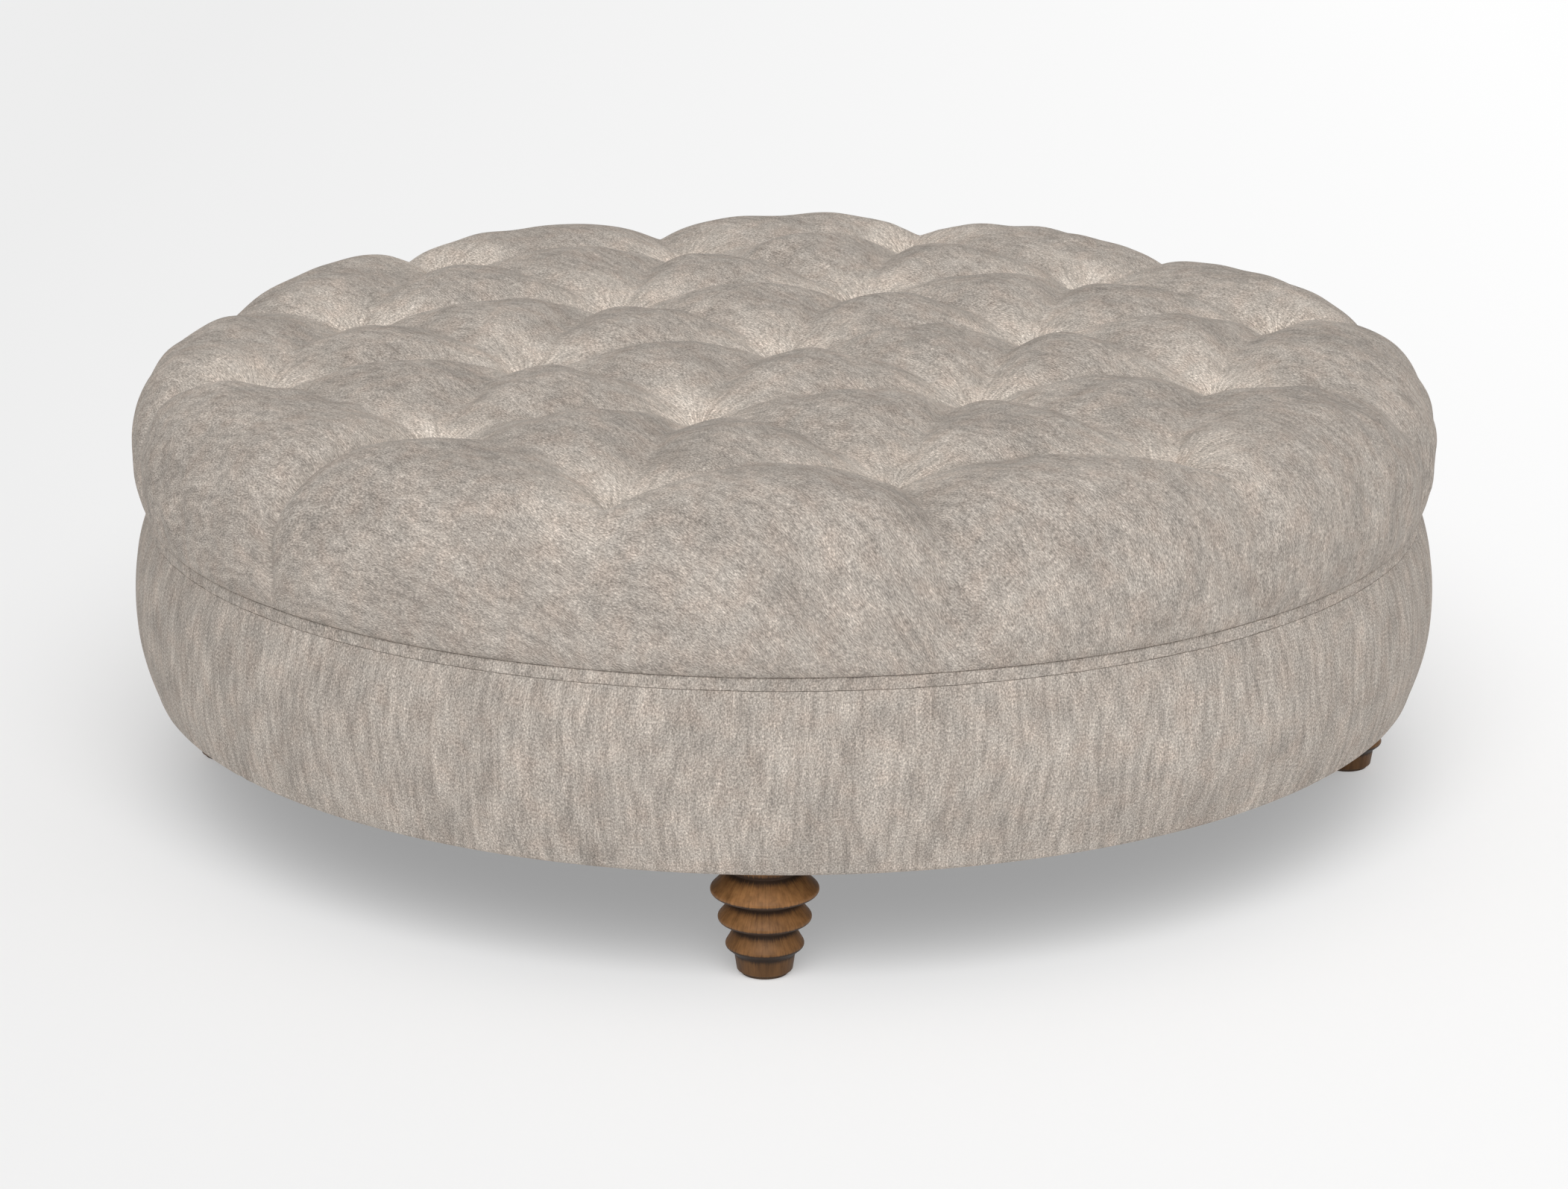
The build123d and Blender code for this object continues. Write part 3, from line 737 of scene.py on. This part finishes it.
def cushion_surface(sizes):
    """The tufted top: 24 inner and 12 outer pillows that share their edge points, welded, then pressed in
    along the normals by the folds and dimples and lifted by the gathers and lumps."""
    places = tuft_places(sizes)
    ring = outer_ring(places)
    draw = np.random.default_rng(SEED + 3)
    pleats = [(draw.normal(0, PLEAT_LEAN), draw.uniform(PLEAT_WEAK, PLEAT_STRONG)) for _ in ring]
    pleats[sizes.deep_pleat] = (sizes.deep_lean, 1.0)
    pleats[sizes.deep_pleat - 1] = (0.0, PLEAT_NEXT)
    pillows = []
    for corners in lattice_triangles(places):
        puff = sizes.fullness + draw.normal(0, PUFF_SPREAD)
        lifts = [lift(CREASE_LIFT, corners[n - 2], corners[n - 1]) for n in range(3)]
        pillows.append(inner_pillow([places[key] for key in corners], lifts, sizes, puff))
    for n, key in enumerate(ring):
        following = (n + 1) % len(ring)
        lifts = [lift(table, key, ring[following]) for table in (CREASE_LIFT, PILLOW_LIFT)]
        ends = places[key], places[ring[following]]
        pillows.append(outer_pillow(*ends, (pleats[n], pleats[following]), *lifts, sizes))
    starts = np.cumsum([0] + [len(pillow[0]) for pillow in pillows])
    faces = [pillow[2] + start for pillow, start in zip(pillows, starts)]
    faces = [np.concatenate([block for block in faces if block.shape[1] == sides]) for sides in (3, 4)]
    points, flat, folds = (np.concatenate([pillow[n] for pillow in pillows]) for n in (0, 1, 3))

    # Points that fall on the same millionth of a metre are one, and the offset keeps zeros off the boundary
    grid = np.round(points * 1e6 + 0.137).astype(np.int64)
    _, kept, welded = np.unique(grid, axis=0, return_index=True, return_inverse=True)
    points, flat, folds = points[kept], flat[kept], folds[kept]
    faces = [welded.ravel()[block] for block in faces]
    pit, gather = tuft_pits(flat, places, sizes)
    lumps = soft_waves(flat, longest=0.20, shortest=0.05, count=40, seed=SEED + 4) * sizes.unevenness
    sunk = fold_depth(flat, places, sizes) + folds + pit - gather + lumps
    edge = np.clip((points[:, 2] - WELT_HIGH.z) / EDGE_FADE, 0, 1)
    points = points - point_normals(points, faces) * (sunk * edge)[:, None]
    return points, flat, faces, *pulled_cloth_and_painted_light(flat, places)


def close_below(points, flat, faces, height):
    """Closes the cushion under its sewn edge: in along the welt's top, down to the deck and across it."""
    edges = [block[:, [n, (n + 1) % block.shape[1]]] for block in faces for n in range(block.shape[1])]
    edges = np.concatenate(edges)
    _, first, times = np.unique(np.sort(edges, axis=1), axis=0, return_index=True, return_counts=True)
    rim = edges[first[times == 1]][:, 0]
    rim = rim[np.argsort(np.arctan2(points[rim, 1], points[rim, 0]))]
    heading = np.arctan2(points[rim, 1], points[rim, 0])
    edge_z = points[rim, 2].mean()
    rings = [(CLOSED_RADIUS, edge_z), *((CLOSED_RADIUS * share, height) for share in (1, 0.5, 0.02))]
    count, start = len(rim), len(points)
    new_points = [polar(r, heading, np.full(count, z)) for r, z in rings]
    rows = [rim] + [start + n * count + np.arange(count) for n in range(len(rings))]
    new_faces = [
        np.stack([upper, lower, np.roll(lower, -1), np.roll(upper, -1)], axis=1)
        for upper, lower in zip(rows[:-1], rows[1:])
    ]
    middle = start + len(rings) * count
    hub = np.stack([rows[-1], np.full(count, middle), np.roll(rows[-1], -1)], axis=1)
    points = np.concatenate([points, *new_points, [[0, 0, height]]])
    flat = np.concatenate([flat, *[p[:, :2] for p in new_points], [[0, 0]]])
    return points, flat, [*faces, *new_faces, hub]


class FOOTSTOOL_OT_cushion(Operator):
    """Builds the tufted cushion cover"""

    bl_idname = "footstool.cushion"
    bl_label = "Tufted cushion"

    def execute(self, context):
        sizes, _, _, finish, _ = settings()
        points, flat, faces, spokes, pull_and_painted_light = cushion_surface(sizes)
        shown = len(points)
        points, flat, faces = close_below(points, flat, faces, DECK_TOP + PLAY)
        piece = make_piece("tufted_cushion", points, faces, flat)
        below = len(points) - shown
        add_values(piece, "spokes", np.concatenate([spokes, np.zeros((below, 3))]))
        # The pull share also carries painted light, which makes the cloth paler round the tufts
        add_values(piece, "pull_and_painted_light", np.concatenate([pull_and_painted_light, np.zeros(below)]))
        looks = CUSHION_FIBRE, CUSHION_RIB, radians(-40), 0.035, True
        dress(piece, heathered_cloth("cushion_cloth", finish.cloth, *looks), "cover_cloth", "cushion_cover")
        return {"FINISHED"}


# Welt and band

# Points round the welt and round the band
WELT_TURNS, BAND_TURNS = 900, 720

# The piping's depth, how square it is and how far in its wrinkles fade
WELT_DEEP, WELT_SQUARE = 0.0112, 10
WRINKLE_FADE = 0.006

# Where the inner and the outer face of its tail leave the piping, and where they run down behind the band
TAIL_INNER = (WELT_HIGH.x - 0.0128, DECK_TOP)
TAIL_OUTER = (WELT_HIGH.x - 0.0105, DECK_TOP + 0.0012)
TAIL_RADIUS, TAIL_BEND = DRUM_RADIUS + 0.005, DECK_TOP - 0.0028

# Where the band's belly is as a share of its height, and how square the band is below and above it
BELLY_SHARE = 0.555
LOWER_POWER, UPPER_POWER = 2.1, 2.2

# The band's lumps, how far it turns in at its top, and its play to the dust cover and to the wadding
BAND_LUMPS = 0.0007
TURN_UNDER, TURN_IN = 0.0004, 0.0005
HEM_PLAY, WADDING_PLAY = 0.0006, 0.0003

# Reach of the seam's hollow, and the height, distance and reach of the low ridge to each side of it
SEAM_REACH = 0.0035
RIDGE_HEIGHT, RIDGE_AWAY, RIDGE_REACH = 0.0004, 0.008, 0.004


def welt_profile():
    """Section of the welt: a flattened piping, a superellipse, with its tail turned down behind it."""
    tall = WELT_HIGH.z - DECK_TOP - PLAY / 2
    middle_r, middle_z = WELT_HIGH.x - WELT_DEEP / 2, WELT_HIGH.z - tall / 2
    turn = np.linspace(-0.78 * pi, 0.98 * pi, 34)
    across, up = (np.sign(x) * np.abs(x) ** (2 / WELT_SQUARE) for x in (np.cos(turn), np.sin(turn)))
    piping = np.column_stack([middle_r + WELT_DEEP / 2 * across, middle_z + tall / 2 * up])
    inner = [(SKIN_RADIUS, TAIL_BEND), (SKIN_RADIUS, WELT_LOW.z)]
    outer = [(TAIL_RADIUS, WELT_LOW.z), (TAIL_RADIUS, TAIL_BEND)]
    return np.concatenate([piping, [TAIL_INNER, *inner, *outer, TAIL_OUTER]])


def wrapped(turns, radius, profile):
    """The flat cloth map of a turned shape: distance round it and distance along its profile."""
    around, along = np.broadcast_arrays(turns[:, None] * radius, arc_length(profile)[None, :])
    return np.stack([around, along], axis=-1).reshape(-1, 2)


class FOOTSTOOL_OT_welt(Operator):
    """Builds the piping between the cushion and the band"""

    bl_idname = "footstool.welt"
    bl_label = "Welt"

    def execute(self, context):
        _, base, _, finish, _ = settings()
        profile = welt_profile()
        turns = np.linspace(0, 2 * pi, WELT_TURNS, endpoint=False)
        flat = wrapped(turns, DRUM_RADIUS, profile)
        waves = soft_waves(flat, longest=0.03, shortest=0.006, count=30, seed=SEED + 5)
        wrinkle = waves.reshape(len(turns), -1) * base.welt_wrinkle
        outside = np.clip((profile[:, 0] - WELT_HIGH.x + WRINKLE_FADE) / WRINKLE_FADE, 0, 1)
        points, faces = turned_shape(profile[:, 0] + wrinkle * outside, profile[:, 1], turns)
        piece = make_piece("piped_welt", points, faces, flat)
        cloth = heathered_cloth("welt_cloth", finish.cloth, BASE_FIBRE, WELT_RIB, radians(80), 0.02)
        dress(piece, cloth, "cover_cloth", "welt")
        return {"FINISHED"}


def band_profile(base):
    """Outside of the band from its hem under the drum, over the rolled edge and the belly to its top under
    the welt, and the inside of its wadding back down to the hem; and how many of its points are outside."""
    foot_r, belly_r, top_r = (DRUM_RADIUS + x for x in (base.band_foot, base.band_belly, base.band_top))
    low, high = DUST_LOW.z + PLAY / 2, DECK_TOP
    belly_z = low + (high - low) * BELLY_SHARE
    hem_r, inside = DUST_HIGH.x + HEM_PLAY, PADDING_HIGH.x + WADDING_PLAY
    turn = np.linspace(-pi / 2, 0, 12)
    roll = [hem_r + (foot_r - hem_r) * np.cos(turn), low + base.band_roll * (1 + np.sin(turn))]
    roll = np.column_stack(roll)
    start_z, end_z = roll[-1, 1], high - TURN_UNDER
    z = start_z + (end_z - start_z) * np.linspace(0, 1, 44)
    lower = np.clip((belly_z - z) / (belly_z - start_z), 0, 1)
    upper = np.clip((z - belly_z) / (end_z - belly_z), 0, 1)
    r = belly_r - (belly_r - roll[-1, 0]) * lower**LOWER_POWER - (belly_r - top_r) * upper**UPPER_POWER
    side = np.column_stack([r, z])[1:]
    turn = np.linspace(0, pi / 2, 8)[1:]
    top = np.column_stack([top_r - TURN_IN * (1 - np.cos(turn)), end_z + TURN_UNDER * np.sin(turn)])
    shut = [(inside, high), (inside, PADDING_LOW.z - PLAY), (hem_r, PADDING_LOW.z - 2 * PLAY)]
    return np.concatenate([roll, side, top, shut]), len(roll) + len(side) + len(top)


class FOOTSTOOL_OT_band(Operator):
    """Builds the padded band round the drum"""

    bl_idname = "footstool.band"
    bl_label = "Band"

    def execute(self, context):
        _, base, _, finish, _ = settings()
        profile, outside = band_profile(base)
        turns = np.linspace(0, 2 * pi, BAND_TURNS, endpoint=False)
        flat = wrapped(turns, DRUM_RADIUS + base.band_belly, profile)
        shown = np.where(np.arange(len(profile)) < outside, 1.0, 0.0)
        share = np.clip((profile[:, 1] - DUST_LOW.z) / (BAND_TOP - DUST_LOW.z), 0, 1)
        soft = np.where(shown > 0, np.sin(pi * share) ** 0.7, 0)
        upright = flat * np.array([1.0, 0.35])
        lumps = soft_waves(upright, longest=0.22, shortest=0.05, count=40, seed=SEED + 6)
        apart = np.mod(turns - base.seam_turn + pi, 2 * pi) - pi
        distance = np.abs(apart)[:, None] * DRUM_RADIUS
        ridge = RIDGE_HEIGHT * np.exp(-(((distance - RIDGE_AWAY) / RIDGE_REACH) ** 2))
        seam = base.seam_depth * np.exp(-distance / SEAM_REACH) - ridge
        radius = profile[:, 0] + lumps.reshape(len(turns), -1) * BAND_LUMPS * soft - seam * shown
        points, faces = turned_shape(radius, profile[:, 1], turns)
        piece = make_piece("padded_band", points, faces, flat)
        cloth = heathered_cloth("band_cloth", finish.cloth, BASE_FIBRE, BAND_RIB, radians(88), 0.03)
        dress(piece, cloth, "cover_cloth", "band_cover")
        return {"FINISHED"}


# Feet

# The plinth, the rims and grooves of the three rings and the collar, as (radius, height) from the floor
PLINTH = ((0.0236, PAD_HIGH.z), (0.0259, 0.0180))
PLINTH_GROOVE = 0.0205
RIMS = ((0.0342, 0.0252), (0.0416, 0.0488), (0.0484, 0.0736))
GROOVES = ((0.0250, 0.0412), (0.0282, 0.0652), (0.0297, 0.0925))
COLLAR = ((0.0315, 0.0955), (0.0315, FOOT_TOP))

# Rounding of the plinth's two edges and of the foot of the collar and its top
PLINTH_ROUNDS, COLLAR_ROUNDS = (0.0012, 0.0012), (0.0006, 0.0008)

# Strokes of the grain round a foot, and their length
STROKES, STROKE_LENGTH = 32.0, 0.02

# How far from the middle of the drum each foot stands
FOOT_CIRCLE = PAD_HIGH.x - 0.020

# How far above a groove the dark stain and painted shade are darkest and how far they reach from there up
# and down, and how far above a rim the painted shade under each ring starts and how softly
STAIN_AND_SHADE_LIFT, STAIN_AND_SHADE_REACH = 0.0003, 0.0048
RING_SHADE_START, RING_SHADE_SOFT = 0.0011, 0.0016

# Painted shade on the wood: how light it is at some heights, and how much darker it is at a rim and how far
# from it
PAINTED_SHADE_HEIGHTS = (0.018, 0.0235, 0.0252, 0.0488, 0.0736)
PAINTED_SHADES = (0.40, 0.47, 0.70, 0.80, 0.98)
RIM_SHADE, RIM_SHADE_REACH = 0.16, 0.005


def foot_profile(feet):
    """Outside of a turned foot from the middle of its foot to the middle of its top, as (radius, height): a
    plinth, three rings that are long and sloping above their rims and short and hollow below, and a
    collar."""
    rings = [corner for ring in zip(RIMS, GROOVES) for corner in ring]
    corners = [(0.0, PAD_HIGH.z), *PLINTH, *rings, *COLLAR, (0.0, FOOT_TOP)]
    radii = [*PLINTH_ROUNDS, *[feet.rim_round, feet.groove_round] * len(RIMS), *COLLAR_ROUNDS]
    return resampled(rounded(corners, radii, 8), 0.002)


def groove_stain_and_shade(profile):
    """Share of the dark colour: 1 at the bottom of each groove, where it is partly stain and partly painted
    shade, and less up and down from it, as exp(-(d / reach)^2), and 1 on the hollow under each ring, from
    just below its rim, where it is painted shade."""
    height = profile[:, 1:]
    grooves = np.array([PLINTH_GROOVE, *(groove + STAIN_AND_SHADE_LIFT for _, groove in GROOVES)])
    rims = np.array([rim + RING_SHADE_START for _, rim in RIMS])
    groove_dark = np.exp(-(((height - grooves) / STAIN_AND_SHADE_REACH) ** 2))
    # Painted shade on the hollow under each ring
    under = np.clip((rims - height) / RING_SHADE_SOFT, 0, 1) * (height > grooves[:-1])
    return np.maximum(groove_dark.max(axis=1), under.max(axis=1))


def painted_wood_shade(profile):
    """Painted shade on the wood: full light on the top ring, darker from ring to ring and darkest on the
    plinth, for the shade under the rings above, and a little darker at each rim, to take back the light
    that a rounded rim catches."""
    height = profile[:, 1:]
    rims = np.array([rim for _, rim in RIMS])
    rim_shade = RIM_SHADE * np.exp(-(((height - rims) / RIM_SHADE_REACH) ** 2)).max(axis=1)
    return np.interp(height[:, 0], PAINTED_SHADE_HEIGHTS, PAINTED_SHADES) * (1 - rim_shade)


class FOOTSTOOL_OT_feet(Operator):
    """Builds the four turned feet"""

    bl_idname = "footstool.feet"
    bl_label = "Turned feet"

    def execute(self, context):
        _, _, feet, finish, _ = settings()
        profile = foot_profile(feet)
        turns = np.linspace(0, 2 * pi, feet.turns, endpoint=False)
        wood = turned_wood("turned_foot_wood", finish.wood, finish.groove)
        stain_and_shade, tone = groove_stain_and_shade(profile), painted_wood_shade(profile)
        stain_and_shade = np.concatenate([np.tile(stain_and_shade[1:-1], len(turns)), [0, 0]])
        tone = np.concatenate([np.tile(tone[1:-1], len(turns)), [tone[0], tone[-1]]])
        strokes = np.full(len(profile), STROKES), arc_length(profile) / STROKE_LENGTH
        spokes = turned_shape(*strokes, turns, solid=True)[0]
        points, faces = turned_shape(profile[:, 0], profile[:, 1], turns, solid=True)
        for name, x, y in (
            ("front_foot", 0, -FOOT_CIRCLE),
            ("right_foot", FOOT_CIRCLE, 0),
            ("back_foot", 0, FOOT_CIRCLE),
            ("left_foot", -FOOT_CIRCLE, 0),
        ):
            piece = make_piece(name, points + np.array([x, y, 0]), faces)
            # The groove values are partly stain and partly painted shade
            add_values(piece, "groove", stain_and_shade)
            # The tone values are painted shade
            add_values(piece, "tone", tone)
            add_values(piece, "spokes", spokes)
            dress(piece, wood, "turned_wood", "turned_feet")
        return {"FINISHED"}


# What the footstool holds

# How deep the tufts press into the foam, and how far round them
FOAM_PIT, FOAM_PIT_REACH = 0.014, 0.03

# Rounding of the foam's lower and upper edge, and of the wadding's edges from its lower inner one on
FOAM_ROUNDS, WADDING_ROUNDS = (0.003, 0.03), (0.001, 0.007, 0.003, 0.001)

# How far inside the dust cover's edge the staples are, how far one strays along it as a share of their
# spacing, how far it tilts in radians and how far it wanders across it
STAPLE_INSET = 0.012
STAPLE_STRAY, STAPLE_TILT, STAPLE_WANDER = 0.12, 0.5, 0.002


class FOOTSTOOL_OT_stuffing(Operator):
    """Builds the foam slab with its tufted pits, and the wadding round the drum"""

    bl_idname = "footstool.stuffing"
    bl_label = "Stuffing"

    def execute(self, context):
        foam = speckled("foam_cells", (0.93, 0.89, 0.74), 700.0, 0.08, 0.9, 0.0008)
        outside, low, high = FOAM_HIGH.x, FOAM_LOW.z, FOAM_HIGH.z
        corners = [(0.0, low), (outside, low), (outside, high), (0.0, high)]
        profile = resampled(rounded(corners, FOAM_ROUNDS, 12), 0.008)
        turns = np.linspace(0, 2 * pi, 240, endpoint=False)
        points, faces = turned_shape(profile[:, 0], profile[:, 1], turns, solid=True)
        tufts = np.array(list(tuft_places(settings()[0]).values()))
        distance = np.linalg.norm(points[:, None, :2] - tufts[None], axis=2).min(axis=1)
        upper = points[:, 2] > (low + high) / 2
        points[:, 2] -= upper * FOAM_PIT * np.exp(-((distance / FOAM_PIT_REACH) ** 2))
        slab = make_piece("foam_slab", points, faces)
        dress(slab, foam, "foam", "foam_core")

        outside, low, high = PADDING_HIGH.x, PADDING_LOW.z, PADDING_HIGH.z
        start = (SKIN_RADIUS, (low + high) / 2)
        corners = [start, (SKIN_RADIUS, low), (outside, low), (outside, high), (SKIN_RADIUS, high), start]
        profile = resampled(rounded(corners, WADDING_ROUNDS, 5), 0.01)[:-1]
        turns = np.linspace(0, 2 * pi, 360, endpoint=False)
        wrap = make_piece("band_wadding", *turned_shape(profile[:, 0], profile[:, 1], turns))
        dress(wrap, foam, "foam", "band_padding")
        return {"FINISHED"}


class FOOTSTOOL_OT_boards(Operator):
    """Gives the drum, the fixings and what is under them their finishes"""

    bl_idname = "footstool.boards"
    bl_label = "Boards and fixings"

    def execute(self, context):
        plywood = grained_board("birch_plywood", (0.86, 0.77, 0.62), (0.11, 0.016, 0.002), 0.16)
        softwood = grained_board("sawn_pine", (0.88, 0.76, 0.56), (0.012, 0.012, 0.14), 0.2)
        batten = grained_board("pine_batten", (0.87, 0.74, 0.54), (0.12, 0.012, 0.012), 0.2)
        for material, *nodes in (
            (plywood, "deck_panel", "bottom_ring"),
            (softwood, "upright_posts", "leg_blocks"),
            (batten, "deck_battens"),
            (speckled("fibreboard", (0.55, 0.42, 0.29), 900.0, 0.14, 0.7), "band_skin"),
            (speckled("tack_card", (0.68, 0.61, 0.50), 600.0, 0.1, 0.85), "tack_strip"),
            (speckled("waxed_twine", (0.86, 0.80, 0.68), 1500.0, 0.2, 0.8), "tuft_twines"),
            (speckled("toggle_plastic", (0.90, 0.90, 0.88), 300.0, 0.02, 0.4, 0.0001), "tuft_toggles"),
            (
                speckled("zinc_steel", (0.72, 0.73, 0.75), 500.0, 0.06, 0.34, 0.0001, 1.0),
                "hanger_bolts",
                "plate_nuts",
            ),
            (speckled("bonded_cloth", (0.10, 0.10, 0.105), 1100.0, 0.35, 0.95, 0.0004), "dust_cover"),
            (speckled("felt", (0.33, 0.26, 0.20), 1300.0, 0.3, 0.98, 0.0008), "felt_pads"),
        ):
            for node in nodes:
                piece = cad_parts[node]
                piece.data.materials.clear()
                piece.data.materials.append(material)
        return {"FINISHED"}


def staple_shape(long=0.0115, wide=0.0012, thick=0.0006, leg=0.0018):
    """One staple lying along X under a cloth: a flat bar with its two ends bent up, as a swept square
    section."""
    line = np.array([(-long / 2, leg), (-long / 2, -thick), (long / 2, -thick), (long / 2, leg)])
    bend = long / 2 - thick
    inner = np.array([(bend, leg), (bend, 0), (-bend, 0), (-bend, leg)])
    outline = np.concatenate([line, inner])
    near = np.column_stack([outline[:, 0], np.full(8, -wide / 2), outline[:, 1]])
    corner = np.arange(8)
    beside = (corner + 1) % 8
    sides = np.stack([corner, beside, beside + 8, corner + 8], axis=1)
    caps = np.array([(0, 7, 6, 1), (1, 6, 5, 2), (2, 5, 4, 3)])
    faces = np.concatenate([sides, caps, caps[:, ::-1] + 8])[:, ::-1]
    return np.concatenate([near, near + np.array([0, wide, 0])]), faces


class FOOTSTOOL_OT_staples(Operator):
    """Builds the ring of staples that holds the dust cover"""

    bl_idname = "footstool.staples"
    bl_label = "Staples"

    def execute(self, context):
        draw = np.random.default_rng(SEED + 8)
        one, faces = staple_shape()
        count = settings()[1].staple_count
        turns = 2 * pi * (np.arange(count) + draw.uniform(-STAPLE_STRAY, STAPLE_STRAY, count)) / count
        tilt = (turns + pi / 2 + draw.uniform(-STAPLE_TILT, STAPLE_TILT, count))[:, None]
        radius = DUST_HIGH.x - STAPLE_INSET + draw.uniform(-STAPLE_WANDER, STAPLE_WANDER, count)
        along, across, up = one.T
        x = along * np.cos(tilt) - across * np.sin(tilt) + (radius * np.cos(turns))[:, None]
        y = along * np.sin(tilt) + across * np.cos(tilt) + (radius * np.sin(turns))[:, None]
        z = np.broadcast_to(up + DUST_LOW.z, x.shape)
        points = np.stack([x, y, z], axis=-1).reshape(-1, 3)
        every = (faces[None] + (np.arange(count) * len(one))[:, None, None]).reshape(-1, 4)
        piece = make_piece("cover_staples", points, [every], smooth=False)
        steel = speckled("staple_steel", (0.75, 0.75, 0.76), 400.0, 0.05, 0.32, 0.0001, 1.0)
        dress(piece, steel, "steel")
        return {"FINISHED"}


# Stage

# Where the camera stands, what it looks at, its lens and sensor in millimetres, and where the lamp hangs
EYE, AIM = Vector((0.118, -3.933, 1.381)), Vector((0, 0, 0.1661))
LENS, SENSOR = 99.3, 36.0
KEY_PLACE = Vector((0.1, -2.6, 2.95))

# How bright the camera sees the sky, and what other rays see of the floor's paint and of its own light
SKY_SEEN = 0.95
BOUNCE, BOUNCE_GLOW, GLOW_STRENGTH = 0.9, 0.26, 1.11


def floor_paint(stage):
    """Pale floor that keeps the object's shadow, painted a little darker at the left as painted shade for
    the light that falls off to that side: part of what the camera and reflections see of it is its own even
    light."""
    looks = {"Roughness": 0.95, "Specular_IOR_Level": 0.0, "Emission_Strength": GLOW_STRENGTH}
    material, add, join = new_material("studio_floor_paint", **looks)
    across = add("SeparateXYZ", Vector=add("TexCoord", output="Object"))
    share = add("MapRange", Value=across, From_Min=-1.2, From_Max=1.2)
    # Painted shade: the floor's paint darker at the left
    paint = ramp(add, share, (0.0, linear(stage.floor_left)), (1.0, linear(stage.floor_right)))
    rays = add("LightPath").node.outputs
    seen = add("Math", {0: rays["Is Camera Ray"], 1: rays["Is Glossy Ray"]}, operation="ADD")
    seen = add("Math", {0: seen, 1: rays["Is Transmission Ray"]}, operation="ADD", use_clamp=True)
    dimmed = ramp(add, seen, (0.0, BOUNCE), (1.0, 1 - stage.floor_glow))
    glow = ramp(add, seen, (0.0, BOUNCE_GLOW), (1.0, stage.floor_glow))
    join(Base_Color=shaded(add, paint, dimmed), Emission_Color=shaded(add, paint, glow))
    return material


def studio_world(sky):
    """Even light from all round, which the camera sees at a brightness of its own."""
    world = bpy.data.worlds.new("studio_world")
    world.use_nodes = True
    tree = world.node_tree
    background = tree.nodes["Background"]
    background.inputs["Color"].default_value = (1, 1, 1, 1)
    rays = tree.nodes.new("ShaderNodeLightPath")
    strength = tree.nodes.new("ShaderNodeMapRange")
    strength.inputs["To Min"].default_value = sky
    strength.inputs["To Max"].default_value = SKY_SEEN
    tree.links.new(rays.outputs["Is Camera Ray"], strength.inputs["Value"])
    tree.links.new(strength.outputs["Result"], background.inputs["Strength"])
    return world


def placed(name, data, place, aim):
    """A lamp or camera at this place that looks at its aim."""
    holder = bpy.data.objects.new(name, data)
    holder.location = place
    holder.rotation_euler = (aim - place).to_track_quat("-Z", "Y").to_euler()
    bpy.context.scene.collection.objects.link(holder)
    return holder


class FOOTSTOOL_OT_stage(Operator):
    """Sets the floor, the light and the camera"""

    bl_idname = "footstool.stage"
    bl_label = "Stage"

    def execute(self, context):
        stage = settings()[4]
        reach = stage.floor_reach
        corners = np.array([(-reach, -reach, 0), (reach, -reach, 0), (reach, reach, 0), (-reach, reach, 0)])
        floor = make_piece("studio_floor", corners, [np.array([[0, 1, 2, 3]])], smooth=False)
        floor.data.materials.append(floor_paint(stage))
        lamp = bpy.data.lights.new("key_light", "SUN")
        lamp.energy = stage.key_strength
        lamp.angle = stage.key_spread
        placed("key_light", lamp, KEY_PLACE, Vector())
        lens = bpy.data.cameras.new("camera")
        lens.lens = LENS
        lens.sensor_width = SENSOR
        scene = bpy.context.scene
        scene.world = studio_world(stage.sky)
        scene.camera = placed("camera", lens, EYE, AIM)
        scene.view_settings.view_transform = "Standard"
        return {"FINISHED"}


class FOOTSTOOL_PT_panel(Panel):
    """Lists the footstool's pieces"""

    bl_label = "Footstool"
    bl_idname = "FOOTSTOOL_PT_panel"
    bl_space_type = "VIEW_3D"
    bl_region_type = "UI"
    bl_category = "Footstool"

    def draw(self, context):
        layout = self.layout
        for operator in OPERATORS:
            layout.operator(operator.bl_idname)
        for group in settings():
            box = layout.box()
            for name in group.__annotations__:
                box.prop(group, name)


OPERATORS = (
    FOOTSTOOL_OT_cushion,
    FOOTSTOOL_OT_welt,
    FOOTSTOOL_OT_band,
    FOOTSTOOL_OT_feet,
    FOOTSTOOL_OT_stuffing,
    FOOTSTOOL_OT_boards,
    FOOTSTOOL_OT_staples,
    FOOTSTOOL_OT_stage,
)
GROUPS = {
    "footstool_cushion": FootstoolCushion,
    "footstool_base": FootstoolBase,
    "footstool_feet": FootstoolFeet,
    "footstool_finish": FootstoolFinish,
    "footstool_stage": FootstoolStage,
}


def register():
    for group in GROUPS.values():
        bpy.utils.register_class(group)
    for name, group in GROUPS.items():
        setattr(bpy.types.Scene, name, PointerProperty(type=group))
    for operator in OPERATORS:
        bpy.utils.register_class(operator)
    bpy.utils.register_class(FOOTSTOOL_PT_panel)


def unregister():
    bpy.utils.unregister_class(FOOTSTOOL_PT_panel)
    for operator in reversed(OPERATORS):
        bpy.utils.unregister_class(operator)
    for name in GROUPS:
        delattr(bpy.types.Scene, name)
    for group in GROUPS.values():
        bpy.utils.unregister_class(group)


def main():
    register()
    bpy.ops.footstool.stage()
    bpy.ops.footstool.cushion()
    bpy.ops.footstool.welt()
    bpy.ops.footstool.band()
    bpy.ops.footstool.feet()
    bpy.ops.footstool.stuffing()
    bpy.ops.footstool.boards()
    bpy.ops.footstool.staples()


if __name__ == "__main__":
    main()
